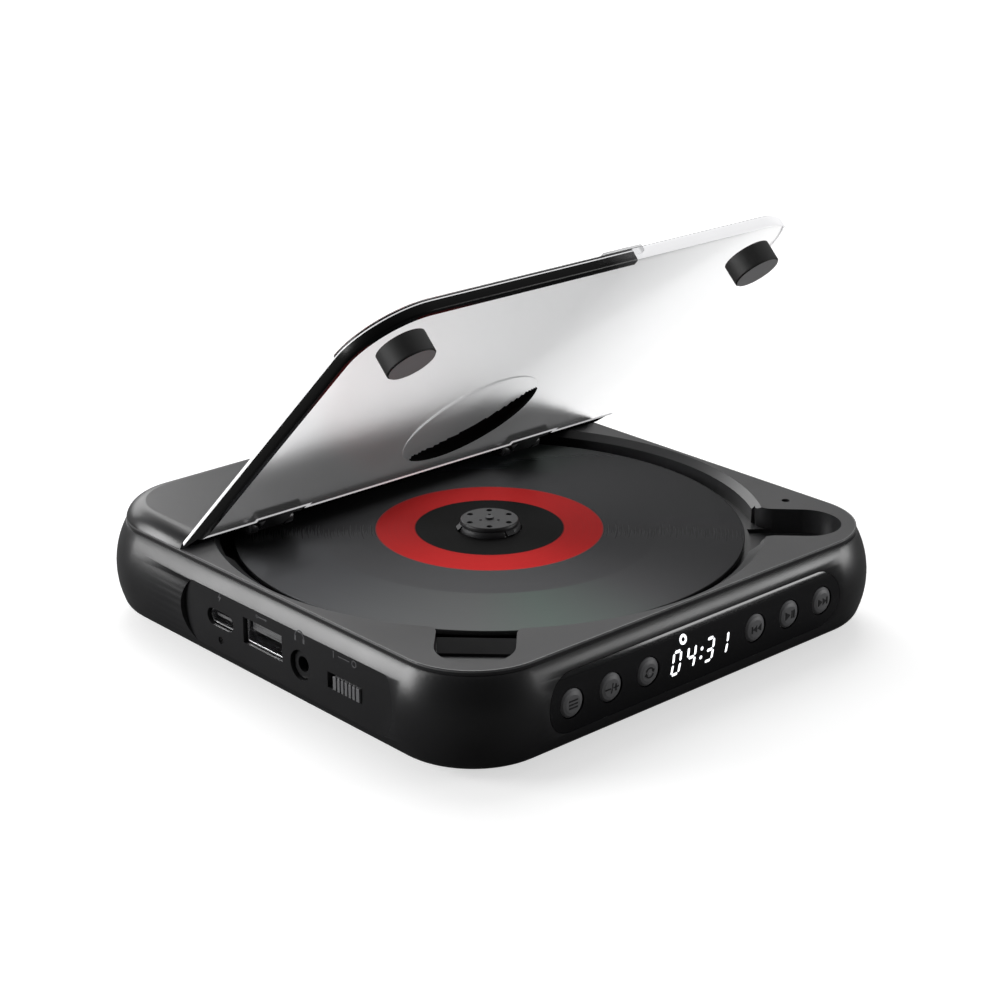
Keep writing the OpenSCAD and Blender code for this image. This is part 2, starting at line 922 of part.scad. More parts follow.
// Time readout with a small ring mark above it
module readout_plan() {
    lit = [[0, 1, 2, 3, 4, 5], [1, 2, 5, 6], [0, 1, 2, 3, 6], [1, 2]];
    for (i = [0:3])
        translate([digit_at[i], digit_z])
            digit(lit[i]);
    for (z = [-colon_step, colon_step])
        translate([colon_x + z * slant, digit_z + z])
            circle(colon_r);
    translate(mark_xz)
        difference() {
            circle(mark_r);
            circle(mark_hole_r);
        }
}

module digit_segments() {
    color([0.95, 0.97, 1])
        intersection() {
            facing_front(-edge_out - cut, -window_back)
                readout_plan();
            front_bulge(0.05);
        }
}

// Six button places, three at each end
function button_places() = [for (side = [-1, 1], i = [-1, 0, 1]) side * button_x + i * button_pitch];

module at_buttons() {
    for (x = button_places())
        translate([x, 0, button_z])
            children();
}

module button(i) {
    r = button_d / 2;
    color([0.16, 0.16, 0.17])
        translate([button_places()[i], 0, button_z]) {
            translate([0, -edge_out - button_proud, 0])
                rotate([-90, 0, 0])
                    rotate_extrude()
                        polygon([
                            [0, 0], [r - 1.2, 0.12], [r - 0.5, 0.35], [r, 0.8],
                            [r, edge_out + button_proud - window_back + near],
                            [0, edge_out + button_proud - window_back + near]
                        ]);
            bar_y(0, -window_back + near, -window_back + near + flange_t, 0, flange_r);
            bar_y(0, -window_back + near, stem_y, 0, stem_r);
        }
}

module menu_button() {
    button(0);
}

module volume_button() {
    button(1);
}

module repeat_button() {
    button(2);
}

module previous_button() {
    button(3);
}

module play_button() {
    button(4);
}

module next_button() {
    button(5);
}

module front_board() {
    color([0.05, 0.25, 0.12])
        block([-front_board_w / 2, front_board_y, front_board_z],
              [front_board_w / 2, front_board_y + front_board_t, front_board_z + front_board_h]);
    // Two slotted ledges stand the board on the base plate
    color([0.05, 0.05, 0.055])
        for (x = [-ledge_x, ledge_x])
            difference() {
                block([x - ledge_half, front_board_y - ledge_wall, base_top],
                      [x + ledge_half, front_board_y + front_board_t + ledge_wall,
                       front_board_z + ledge_wall]);
                block([x - ledge_half - cut, front_board_y, front_board_z],
                      [x + ledge_half + cut, front_board_y + front_board_t, front_board_z + 2 * cut]);
            }
}

module button_switches() {
    color([0.7, 0.7, 0.72])
        at_buttons() {
            block([-tact_half, tact_y + tact_step, -tact_half], [tact_half, front_board_y, tact_half]);
            bar_y(0, tact_y, tact_y + tact_step + near, 0, tact_r);
        }
}

module main_board() {
    color([0.05, 0.25, 0.12])
        difference() {
            block([board_x[0], board_y[0], board_z], [board_x[1], board_y[1], board_top]);
            block([board_x[0] - cut, jack_y - jack_body - free, board_z - cut],
                  [socket_x + jack_len + 2 * free, jack_y + jack_body + free, board_top + cut]);
            for (p = board_posts)
                translate([p[0], p[1], board_z - cut])
                    cylinder(h = board_t + 2 * cut, r = screw_r + near);
        }
}

module board_screws() {
    color([0.6, 0.6, 0.62])
        for (p = board_posts)
            translate([p[0], p[1], 0])
                screw_down(board_top, board_screw_len, board_screw_head);
}

// Processor, amplifier, charger and two tall capacitors
module board_chips() {
    color([0.06, 0.06, 0.065])
        translate([board_x[1], 0, board_top]) {
            for (i = [0:2])
                translate(chip_from[i])
                    cube(chip_size[i]);
            for (p = capacitor_from)
                translate(p)
                    cylinder(h = capacitor_h, r = capacitor_r);
        }
}

module battery() {
    color([0.35, 0.38, 0.42])
        translate([battery_at[0], battery_at[1], base_top + pad_t])
            linear_extrude(battery_size[2])
                translate([-battery_size[0] / 2, -battery_size[1] / 2])
                    round_box(battery_size[0], battery_size[1], battery_edge_r);
}

module battery_pad() {
    color([0.2, 0.2, 0.2])
        translate([battery_at[0], battery_at[1], base_top + pad_t / 2])
            cube([battery_size[0] - 4, battery_size[1] - 6, pad_t], center = true);
}

module usb_c_socket() {
    color([0.7, 0.7, 0.72]) {
        facing_left(socket_x, socket_x + usb_c_size[0])
            translate([usb_c_y, usb_c_z])
                difference() {
                    pill(usb_c_size[1], usb_c_size[2]);
                    pill(usb_c_size[1] - 0.7, usb_c_size[2] - 0.7);
                }
        facing_left(socket_x + usb_c_size[0] - 2, socket_x + usb_c_size[0])
            translate([usb_c_y, usb_c_z])
                pill(usb_c_size[1] - 0.7, usb_c_size[2] - 0.7);
        block([socket_x + 0.8, usb_c_y - 3.3, usb_c_z - 0.35],
              [socket_x + usb_c_size[0] - 1, usb_c_y + 3.3, usb_c_z + 0.35]);
        block([board_x[0], usb_c_y - 3, board_top],
              [socket_x + usb_c_size[0], usb_c_y + 3, usb_c_z - usb_c_size[2] / 2 + 0.1]);
    }
}

module usb_a_socket() {
    shell = 0.4;
    color([0.72, 0.72, 0.74]) {
        facing_left(socket_x, socket_x + usb_a_size[0])
            translate([usb_a_y, usb_a_z])
                difference() {
                    square([usb_a_size[1], usb_a_size[2]], center = true);
                    square([usb_a_size[1] - 2 * shell, usb_a_size[2] - 2 * shell], center = true);
                }
        facing_left(socket_x + usb_a_size[0] - 2, socket_x + usb_a_size[0])
            translate([usb_a_y, usb_a_z])
                square([usb_a_size[1] - shell, usb_a_size[2] - shell], center = true);
        block([socket_x + 0.8, usb_a_y - 5.6, usb_a_z],
              [socket_x + usb_a_size[0] - 1, usb_a_y + 5.6, usb_a_z + 1.9]);
        block([board_x[0] + 1, usb_a_y - 6, board_top],
              [socket_x + usb_a_size[0], usb_a_y + 6, usb_a_z - usb_a_size[2] / 2 + 0.1]);
    }
}

module headphone_socket() {
    color([0.05, 0.05, 0.05])
        difference() {
            union() {
                bar_x(socket_x, socket_x + jack_len, jack_y, jack_z, jack_r);
                block([-wall_in + near, jack_y - jack_body, jack_z - jack_body],
                      [socket_x + jack_len, jack_y + jack_body, jack_z + jack_body]);
                block([-wall_in + 0.5, jack_y - jack_body - 1.2, board_top],
                      [socket_x + jack_len - 0.5, jack_y + jack_body + 1.2, board_top + 1.2]);
            }
            bar_x(socket_x - cut, socket_x + jack_len + cut, jack_y, jack_z, jack_bore_r);
        }
}

module power_switch_case() {
    color([0.6, 0.6, 0.62])
        difference() {
            block([-wall_in + near, switch_y - slot_w / 2 - 1, board_top],
                  [-wall_in + 4.4, switch_y + slot_w / 2 + 1, switch_z + 2.2]);
            block([-wall_in - cut, switch_y - slot_w / 2, switch_z - 1.2],
                  [-wall_in + 2.4, switch_y + slot_w / 2, switch_z + 1.2]);
        }
}

// Rests at the front end of its slot, which is off
module power_switch_knob() {
    front = switch_y - slot_w / 2 + free;
    outer = -panel_x - 0.5;
    color([0.14, 0.14, 0.15]) {
        difference() {
            block([outer, front, switch_z - knob_size[2] / 2],
                  [outer + knob_size[0], front + knob_size[1], switch_z + knob_size[2] / 2]);
            for (i = [1:6])
                block([outer - cut, front + i * knob_size[1] / 7 - 0.25, switch_z - knob_size[2]],
                      [outer + 0.5, front + i * knob_size[1] / 7 + 0.25, switch_z + knob_size[2]]);
        }
        block([outer + knob_size[0] - near, front + 2.4, switch_z - 0.9],
              [-wall_in + 2, front + knob_size[1] - 2.4, switch_z + 0.9]);
    }
}

module charge_light() {
    color([0.6, 0.15, 0.1]) {
        bar_x(-panel_x + 0.2, -wall_in + 2, light_yz[0], light_yz[1], light_r);
        block([-wall_in + 1, light_yz[0] - 1.2, light_yz[1] - 1],
              [-wall_in + 3, light_yz[0] + 1.2, board_z]);
    }
}

// Small optical sensor that looks up through a pinhole in the deck
module lid_sensor() {
    color([0.1, 0.1, 0.1])
        translate([sensor_xy[0], sensor_xy[1], deck_under - 0.75])
            cube([2.6, 4, 1.5], center = true);
}

module mechanism_chassis() {
    color([0.7, 0.71, 0.73])
        difference() {
            block([-chassis_x, chassis_y[0], chassis_z], [chassis_x, chassis_y[1], chassis_top]);
            block([-turret_half - 1, pickup_in - pickup_back, chassis_z - cut],
                  [turret_half + 1, pickup_in + pickup_travel + pickup_front + 0.3, chassis_top + cut]);
            translate([0, 0, chassis_z - cut])
                cylinder(h = chassis_t + 2 * cut, r = 4);
            for (p = damper_at)
                translate([p[0], p[1], chassis_z - cut])
                    cylinder(h = chassis_t + 2 * cut, r = damper_neck_r);
        }
}

module chassis_dampers() {
    color([0.03, 0.03, 0.03])
        for (p = damper_at)
            translate([p[0], p[1], 0])
                rotate_extrude()
                    polygon([
                        [screw_r + near, chassis_z - damper_low], [damper_r, chassis_z - damper_low],
                        [damper_r, chassis_z], [damper_neck_r, chassis_z],
                        [damper_neck_r, chassis_top], [damper_r - 0.5, chassis_top],
                        [damper_r - 0.5, chassis_top + damper_high],
                        [screw_r + near, chassis_top + damper_high]
                    ]);
}

module damper_screws() {
    color([0.6, 0.6, 0.62])
        for (p = damper_at)
            translate([p[0], p[1], 0])
                screw_down(chassis_top + damper_high, chassis_top + damper_high - base_top - 2,
                           damper_screw_head);
}

// Can and stator, with a bearing bush for the shaft
module spindle_motor() {
    color([0.62, 0.62, 0.64])
        difference() {
            union() {
                translate([0, 0, motor_z])
                    cylinder(h = chassis_z - motor_z, r = motor_r);
                translate([0, 0, chassis_z - near])
                    cylinder(h = chassis_t + 0.6, r = 3.8);
            }
            translate([0, 0, motor_z + 1])
                cylinder(h = chassis_z, r = shaft_r + run);
        }
}

module guide_rods() {
    color([0.78, 0.78, 0.8])
        for (x = [-1, 1])
            bar_y(x * rod_x, rod_y[0], rod_y[1], rod_z, rod_r);
}

module rod_clips() {
    color([0.85, 0.85, 0.82])
        for (x = [-1, 1], y = [rod_y[0], rod_y[1] - 2])
            difference() {
                block([x * rod_x - 3, y, rod_z - 2.6], [x * rod_x + 3, y + 2, chassis_z]);
                bar_y(x * rod_x, y - cut, y + 3, rod_z, rod_r);
            }
}

module sled_motor() {
    color([0.62, 0.62, 0.64])
        difference() {
            union() {
                bar_y(screw_x, sled_motor_y[0], sled_motor_y[1], rod_z, sled_motor_r);
                block([screw_x - 4, sled_motor_y[1] - 1.5, rod_z - sled_motor_r],
                      [screw_x + 4, sled_motor_y[1], chassis_z]);
            }
            bar_y(screw_x, screw_y[0] - 1, sled_motor_y[1] + cut, rod_z, rod_r + run);
        }
}

module screw_bearing() {
    color([0.85, 0.85, 0.82])
        difference() {
            block([screw_x - 3, screw_y[1] - 2, rod_z - 2.6], [screw_x + 3, screw_y[1] + 1, chassis_z]);
            bar_y(screw_x, screw_y[1] - 3, screw_y[1] + near, rod_z, rod_r + run);
        }
}

module lead_screw() {
    color([0.78, 0.78, 0.8])
        bar_y(screw_x, screw_y[0], screw_y[1], rod_z, rod_r);
}

module limit_switch() {
    color([0.1, 0.1, 0.1])
        translate([limit_x, pickup_in - pickup_back - limit_size[1] - 1, chassis_z - limit_size[2]])
            cube(limit_size);
}

module pickup_body() {
    y0 = pickup_in - pickup_back;
    y1 = pickup_in + pickup_front;
    color([0.3, 0.3, 0.32])
        difference() {
            union() {
                block([-pickup_half, y0, pickup_bottom], [pickup_half, pickup_in - 1, pickup_top]);
                block([-nose_half, y0, pickup_bottom], [nose_half, y1, pickup_top]);
                block([-turret_half, pickup_in - turret_half, pickup_top - near],
                      [turret_half, y1, turret_top - 1]);
            }
            for (x = [-1, 1])
                bar_y(x * rod_x, y0 - cut, y1 + cut, rod_z, rod_r + run);
            translate([0, pickup_in, pickup_top])
                cylinder(h = 20, r = lens_hole_r);
        }
}

// Arm that rides on the lead screw
module screw_follower() {
    color([0.85, 0.85, 0.82])
        difference() {
            block([pickup_half, pickup_in - 9, rod_z - 2.4],
                  [screw_x + 2.6, pickup_in - 2, rod_z + 2.4]);
            bar_y(screw_x, pickup_in - 10, pickup_in, rod_z, rod_r + run);
        }
}

// Cover plate of the pickup with a round window for the lens
module pickup_lid() {
    color([0.06, 0.06, 0.065])
        difference() {
            block([-turret_half, pickup_in - turret_half, turret_top - 1],
                  [turret_half, pickup_in + pickup_front, turret_top]);
            translate([0, pickup_in, turret_top - 2])
                cylinder(h = 4, r = lens_hole_r);
        }
}

module lens_holder() {
    color([0.04, 0.04, 0.045])
        translate([0, pickup_in, 0])
            difference() {
                translate([0, 0, pickup_top + 0.7])
                    cylinder(h = lens_top - 0.6 - pickup_top - 0.7, r = lens_r + lens_wall);
                translate([0, 0, pickup_top])
                    cylinder(h = 20, r = lens_r - 0.6);
                translate([0, 0, lens_top - 1.4])
                    cylinder(h = 20, r = lens_r);
            }
}

module objective_lens() {
    color([0.5, 0.6, 0.75, 0.6])
        translate([0, pickup_in, lens_top - 1.4])
            rotate_extrude()
                polygon([[0, 0], [lens_r, 0], [lens_r, 0.8], [lens_r * 0.75, 1.15], [lens_r * 0.4, 1.35],
                         [0, 1.4]]);
}

module spindle_shaft() {
    color([0.78, 0.78, 0.8])
        translate([0, 0, motor_z + 1.2])
            cylinder(h = hub_top + 0.4 - motor_z - 1.2, r = shaft_r);
}

module turntable() {
    color([0.05, 0.05, 0.055])
        difference() {
            rotate_extrude()
                polygon([
                    [shaft_r, chassis_top + 0.9], [5, chassis_top + 0.9], [5, floor_z],
                    [platter_r, floor_z + 0.6], [platter_r, disc_z - 0.3], [hub_r, disc_z - 0.3],
                    [hub_r, disc_top + 0.3], [hub_r - 0.4, disc_top + 1.1], [shaft_r, disc_top + 1.1]
                ]);
            hub_claw_cuts();
        }
}

module turntable_pad() {
    color([0.03, 0.03, 0.03])
        translate([0, 0, disc_z - 0.3])
            difference() {
                cylinder(h = 0.3, r = platter_r - 0.3);
                translate([0, 0, -cut])
                    cylinder(h = 1 + cut, r = hub_r);
            }
}

module at_claws() {
    for (a = [30, 150, 270])
        rotate(a)
            children();
}

module hub_claw_cuts() {
    at_claws()
        block([hub_r - 2, -1.3, disc_z], [hub_r + 1, 1.3, disc_top + 2]);
}

// Three spring claws that hold the disc down by the rim of its hole
module hub_claws() {
    color([0.08, 0.08, 0.085])
        at_claws()
            facing_front(-1.2, 1.2)
                polygon([
                    [hub_r - 2, disc_z], [hub_r - 0.3, disc_z], [hub_r - 0.3, disc_top + 0.05],
                    [hub_r + 0.5, disc_top + 0.3], [hub_r - 0.4, disc_top + 1.1],
                    [hub_r - 2, disc_top + 1.1]
                ]);
}

// Dark cap with a ring of round holes and three short slots round the shaft
module hub_cap() {
    color([0.1, 0.1, 0.105])
        translate([0, 0, disc_top + 1.1])
            difference() {
                rotate_extrude()
                    polygon([
                        [shaft_r, 0], [hub_r - 0.4, 0], [hub_r - 0.5, hub_cap_t - 0.2],
                        [hub_r - 0.7, hub_cap_t], [shaft_r, hub_cap_t]
                    ]);
                for (a = [0:60:300])
                    rotate(a + hub_hole_turn)
                        translate([hub_r * 0.72, 0, 0.4])
                            cylinder(h = hub_cap_t, r = hub_hole_r);
                for (a = [0:120:240])
                    rotate(a + hub_hole_turn)
                        translate([hub_r * 0.33, 0, 0.4])
                            cylinder(h = hub_cap_t, r = hub_mark_r);
            }
}

// Disc with its clamping ring and the thin stacking ring
module disc() {
    color([0.22, 0.22, 0.23])
        translate([0, 0, disc_z])
            difference() {
                cylinder(h = disc_t, r = disc_d / 2, $fn = 180);
                translate([0, 0, -cut])
                    cylinder(h = disc_t + 2 * cut, r = disc_hole_d / 2);
            }
}

main_housing();
base_cover();
rubber_feet();
base_screws();
top_deck();
deck_screws();
rear_cover();
hinge_pins();
display_window();
display_module();
digit_segments();
front_board();
button_switches();
main_board();
board_screws();
board_chips();
battery();
battery_pad();
usb_c_socket();
usb_a_socket();
headphone_socket();
power_switch_case();
charge_light();
lid_sensor();
mechanism_chassis();
chassis_dampers();
damper_screws();
spindle_motor();
guide_rods();
rod_clips();
sled_motor();
screw_bearing();
limit_switch();
clear_lid();
hinge_arms();
lid_bumper_left();
lid_bumper_right();
spindle_shaft();
turntable();
turntable_pad();
hub_cap();
hub_claws();
disc();
pickup_body();
screw_follower();
pickup_lid();
lens_holder();
objective_lens();
lead_screw();
menu_button();
volume_button();
repeat_button();
previous_button();
play_button();
next_button();
power_switch_knob();
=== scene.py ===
import json
import math

import bmesh
import bpy
from mathutils import Matrix, Vector

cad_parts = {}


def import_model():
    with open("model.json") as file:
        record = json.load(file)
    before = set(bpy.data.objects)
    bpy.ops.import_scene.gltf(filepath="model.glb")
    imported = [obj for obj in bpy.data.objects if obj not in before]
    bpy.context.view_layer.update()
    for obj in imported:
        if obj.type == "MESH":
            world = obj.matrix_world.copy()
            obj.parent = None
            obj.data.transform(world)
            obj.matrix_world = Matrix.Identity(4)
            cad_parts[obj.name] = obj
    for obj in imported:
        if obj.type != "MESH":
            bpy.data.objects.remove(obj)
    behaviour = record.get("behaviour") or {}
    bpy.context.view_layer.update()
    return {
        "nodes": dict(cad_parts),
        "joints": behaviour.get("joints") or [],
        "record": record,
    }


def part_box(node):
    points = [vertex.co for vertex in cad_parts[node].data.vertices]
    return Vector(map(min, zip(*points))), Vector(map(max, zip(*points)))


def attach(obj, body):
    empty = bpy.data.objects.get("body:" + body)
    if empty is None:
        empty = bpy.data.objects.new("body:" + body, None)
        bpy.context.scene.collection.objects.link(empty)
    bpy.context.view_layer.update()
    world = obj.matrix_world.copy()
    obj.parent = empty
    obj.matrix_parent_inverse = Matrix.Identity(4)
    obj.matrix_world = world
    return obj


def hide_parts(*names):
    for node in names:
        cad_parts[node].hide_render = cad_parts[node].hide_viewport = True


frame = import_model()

MM = 0.001

nodes = frame["nodes"]
joints = {joint["name"]: joint for joint in frame["joints"]}


# Places read from the frame

def node_box(name):
    """Lowest and highest corner of a node, in millimetres."""
    low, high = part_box(name)
    return Vector(low) / MM, Vector(high) / MM


hinge = joints["lid_hinge"]
PIVOT = Vector(hinge["pos_m"])
LID_OPEN = math.radians(-hinge["range_deg"][0])
# Takes a point of the closed lid to its place in the open lid
LID_POSE = (
    Matrix.Translation(PIVOT)
    @ Matrix.Rotation(-LID_OPEN, 4, "X")
    @ Matrix.Translation(-PIVOT)
)


def closed_box(name):
    """Lowest and highest corner of a lid node with the lid shut, in millimetres."""
    back = LID_POSE.inverted()
    points = [back @ vertex.co / MM for vertex in nodes[name].data.vertices]
    low = Vector(min(p[i] for p in points) for i in range(3))
    high = Vector(max(p[i] for p in points) for i in range(3))
    return low, high


# Materials

# Noise: the range that most of its values fall in, its roughness, and scales in cells per metre
NOISE_LOW = 0.3
NOISE_HIGH = 0.7
NOISE_ROUGHNESS = 0.6
PATCH_SCALE = 45.0
CLOUD_SCALE = 60.0
GRAIN_SCALE = 9000.0
BRUSH_SCALE = (9000.0, 120.0, 9000.0)
# Depth of surface grain, in metres
GRAIN_DEPTH = 0.00001
BUMP_STRENGTH = 0.5
GLOW_ROUGHNESS = 0.3
PLASTIC_IOR = 1.49


def new_material(name):
    made = bpy.data.materials.new(name)
    made.use_nodes = True
    return made


def link(tree, source, target):
    tree.links.new(source, target)


def add_node(tree, kind, **values):
    made = tree.nodes.new(kind)
    for key, value in values.items():
        setattr(made, key, value)
    return made


def object_noise(tree, scale, detail=3.0):
    """Noise fixed to the piece, with scale in cells per metre."""
    place = add_node(tree, "ShaderNodeTexCoord")
    noise = add_node(tree, "ShaderNodeTexNoise")
    noise.inputs["Scale"].default_value = scale
    noise.inputs["Detail"].default_value = detail
    noise.inputs["Roughness"].default_value = NOISE_ROUGHNESS
    link(tree, place.outputs["Object"], noise.inputs["Vector"])
    return noise.outputs["Fac"]


def between(tree, value, low, high):
    """Spreads a noise value over a range."""
    spread = add_node(tree, "ShaderNodeMapRange")
    spread.inputs["From Min"].default_value = NOISE_LOW
    spread.inputs["From Max"].default_value = NOISE_HIGH
    spread.inputs["To Min"].default_value = low
    spread.inputs["To Max"].default_value = high
    link(tree, value, spread.inputs["Value"])
    return spread.outputs["Result"]


def ramp(tree, value, stops):
    """Colour ramp with (place, colour) stops."""
    made = add_node(tree, "ShaderNodeValToRGB")
    elements = made.color_ramp.elements
    while len(elements) < len(stops):
        elements.new(0.5)
    for element, (place, colour) in zip(elements, stops):
        element.position = place
        element.color = (*colour, 1.0)
    link(tree, value, made.inputs["Fac"])
    return made.outputs["Color"]


def add_bump(tree, shader, height, distance):
    bump = add_node(tree, "ShaderNodeBump")
    bump.inputs["Strength"].default_value = BUMP_STRENGTH
    bump.inputs["Distance"].default_value = distance
    link(tree, height, bump.inputs["Height"])
    link(tree, bump.outputs["Normal"], shader.inputs["Normal"])


def shade(value, factor):
    return tuple(min(1.0, channel * factor) for channel in value)


def varied_colour(tree, noise, colour, share):
    """Colour that turns darker and lighter by a share, following a noise value."""
    return ramp(tree, noise, [
        (NOISE_LOW, shade(colour, 1 - share)),
        (NOISE_HIGH, shade(colour, 1 + share)),
    ])


def varied(tree, noise, value, share):
    """Value that goes down and up by a share, following a noise value."""
    return between(tree, noise, value * (1 - share), value * (1 + share))


def moulded(name, colour, roughness, grain=GRAIN_SCALE, depth=GRAIN_DEPTH, metallic=0.0, specular=0.5):
    """Moulded or plated surface: fine grain in its bump, and soft patches in colour and roughness."""
    made = new_material(name)
    tree = made.node_tree
    shader = tree.nodes["Principled BSDF"]
    shader.inputs["Metallic"].default_value = metallic
    shader.inputs["Specular IOR Level"].default_value = specular
    patches = object_noise(tree, PATCH_SCALE)
    link(tree, varied_colour(tree, patches, colour, 0.08), shader.inputs["Base Color"])
    link(tree, varied(tree, patches, roughness, 0.1), shader.inputs["Roughness"])
    add_bump(tree, shader, object_noise(tree, grain, 2.0), depth)
    return made


def glowing(name, colour, strength):
    made = moulded(name, colour, GLOW_ROUGHNESS)
    shader = made.node_tree.nodes["Principled BSDF"]
    shader.inputs["Emission Color"].default_value = (*colour, 1.0)
    shader.inputs["Emission Strength"].default_value = strength
    return made


def clear(name, colour, roughness, ior=PLASTIC_IOR):
    """Clear plastic or glass with faint cloudy patches in its polish."""
    made = new_material(name)
    tree = made.node_tree
    shader = tree.nodes["Principled BSDF"]
    shader.inputs["Base Color"].default_value = (*colour, 1.0)
    shader.inputs["Transmission Weight"].default_value = 1.0
    shader.inputs["IOR"].default_value = ior
    patches = object_noise(tree, CLOUD_SCALE)
    link(tree, varied(tree, patches, roughness, 0.05), shader.inputs["Roughness"])
    return made


def brushed(name, colour, roughness):
    """Metal with fine lines drawn along Y."""
    made = new_material(name)
    tree = made.node_tree
    shader = tree.nodes["Principled BSDF"]
    shader.inputs["Metallic"].default_value = 1.0
    place = add_node(tree, "ShaderNodeTexCoord")
    stretch = add_node(tree, "ShaderNodeMapping")
    stretch.inputs["Scale"].default_value = BRUSH_SCALE
    noise = add_node(tree, "ShaderNodeTexNoise")
    noise.inputs["Scale"].default_value = 1.0
    link(tree, place.outputs["Object"], stretch.inputs["Vector"])
    link(tree, stretch.outputs["Vector"], noise.inputs["Vector"])
    lines = noise.outputs["Fac"]
    link(tree, varied_colour(tree, lines, colour, 0.1), shader.inputs["Base Color"])
    link(tree, varied(tree, lines, roughness, 0.2), shader.inputs["Roughness"])
    add_bump(tree, shader, lines, GRAIN_DEPTH)
    return made


def radius_of(tree):
    """Distance from the disc's axis, in millimetres."""
    place = add_node(tree, "ShaderNodeTexCoord")
    flat = add_node(tree, "ShaderNodeVectorMath", operation="MULTIPLY")
    flat.inputs[1].default_value = (1 / MM, 1 / MM, 0.0)
    length = add_node(tree, "ShaderNodeVectorMath", operation="LENGTH")
    link(tree, place.outputs["Object"], flat.inputs[0])
    link(tree, flat.outputs["Vector"], length.inputs[0])
    return length.outputs["Value"]


# The disc in millimetres: its edge, hole and rounding, then its printed rings and their blur
DISC_R = 60.0
HOLE_R = 7.5
DISC_RIM = 0.25
LABEL_IN = 17.75
LABEL_OUT = 26.9
BAND_IN = 40.0
PRINT_BLUR = 0.25
HUB_BLACK = (0.004, 0.004, 0.004)
LABEL_RED = (0.4, 0.02, 0.02)
PRINT_GREY = (0.06, 0.06, 0.062)
# Colours of the disc's outer band, by turn round the disc from 0 to 1: grey print with painted sheen,
# faint green and blue tints at two opposite turns
BAND_SHEEN_TINTS = [
    (0.0, (0.062, 0.063, 0.066)),
    (0.12, (0.075, 0.077, 0.077)),
    (0.17, (0.07, 0.085, 0.078)),
    (0.25, (0.066, 0.066, 0.068)),
    (0.45, PRINT_GREY),
    (0.55, PRINT_GREY),
    (0.6, (0.07, 0.08, 0.076)),
    (0.64, (0.078, 0.085, 0.098)),
    (0.68, (0.088, 0.08, 0.097)),
    (0.8, PRINT_GREY),
    (1.0, (0.062, 0.063, 0.066)),
]
# Grooves: cells per millimetre and detail of their noise, darkest shade, and range of roughness
GROOVE_SCALE = 3.0
GROOVE_DETAIL = 5.0
GROOVE_SHADE = 0.86
GROOVE_ROUGHNESS = (0.31, 0.37)
# Sockets of a colour mix node
MIX_SHARE = 0
MIX_FIRST = 6
MIX_SECOND = 7
MIX_RESULT = 2


def turn_of(tree):
    """Turn round the disc's axis, from 0 to 1."""
    place = add_node(tree, "ShaderNodeTexCoord")
    around = add_node(tree, "ShaderNodeTexGradient", gradient_type="RADIAL")
    link(tree, place.outputs["Object"], around.inputs["Vector"])
    return around.outputs["Fac"]


def colour_mix(tree, blend, first, second):
    """Mix node that takes the second colour in full, unless its share is linked."""
    mix = add_node(tree, "ShaderNodeMix", data_type="RGBA", blend_type=blend)
    mix.inputs[MIX_SHARE].default_value = 1.0
    link(tree, first, mix.inputs[MIX_FIRST])
    link(tree, second, mix.inputs[MIX_SECOND])
    return mix


def print_and_sheen(tree, radius):
    """Colour of the print by radius: a dark centre, the red label, grey, then the outer band with
    painted sheen by turn.
    """
    share = add_node(tree, "ShaderNodeMath", operation="DIVIDE")
    share.inputs[1].default_value = DISC_R
    link(tree, radius, share.inputs[0])
    rings = ramp(tree, share.outputs["Value"], [
        (0.0, HUB_BLACK),
        ((LABEL_IN - PRINT_BLUR) / DISC_R, HUB_BLACK),
        (LABEL_IN / DISC_R, LABEL_RED),
        ((LABEL_OUT - PRINT_BLUR) / DISC_R, LABEL_RED),
        (LABEL_OUT / DISC_R, PRINT_GREY),
        (1.0, PRINT_GREY),
    ])
    in_band = ramp(tree, share.outputs["Value"], [
        ((BAND_IN - PRINT_BLUR) / DISC_R, (0.0, 0.0, 0.0)),
        (BAND_IN / DISC_R, (1.0, 1.0, 1.0)),
    ])
    # The outer band's tints by turn are painted sheen
    mix = colour_mix(tree, "MIX", rings, ramp(tree, turn_of(tree), BAND_SHEEN_TINTS))
    link(tree, in_band, mix.inputs[MIX_SHARE])
    return mix.outputs[MIX_RESULT]


def disc_material():
    """Dark printed disc: a red label ring, fine grooves and an outer band with faintly tinted painted
    sheen.
    """
    made = new_material("disc_print_and_sheen")
    tree = made.node_tree
    shader = tree.nodes["Principled BSDF"]
    radius = radius_of(tree)
    noise = add_node(tree, "ShaderNodeTexNoise", noise_dimensions="1D")
    noise.inputs["Scale"].default_value = GROOVE_SCALE
    noise.inputs["Detail"].default_value = GROOVE_DETAIL
    link(tree, radius, noise.inputs["W"])
    grooves = ramp(tree, noise.outputs["Fac"], [
        (NOISE_LOW, (GROOVE_SHADE, GROOVE_SHADE, GROOVE_SHADE)),
        (NOISE_HIGH, (1.0, 1.0, 1.0)),
    ])
    mix = colour_mix(tree, "MULTIPLY", print_and_sheen(tree, radius), grooves)
    link(tree, mix.outputs[MIX_RESULT], shader.inputs["Base Color"])
    link(tree, between(tree, noise.outputs["Fac"], *GROOVE_ROUGHNESS), shader.inputs["Roughness"])
    shader.inputs["Metallic"].default_value = 0.7
    shader.inputs["Specular Tint"].default_value = (0.25, 0.25, 0.25, 1.0)
    shader.inputs["Specular IOR Level"].default_value = 0.2
    shader.inputs["Anisotropic"].default_value = 0.55
    shader.inputs["Anisotropic Rotation"].default_value = 0.25
    tangent = add_node(tree, "ShaderNodeTangent", direction_type="RADIAL", axis="Z")
    link(tree, tangent.outputs["Tangent"], shader.inputs["Tangent"])
    return made


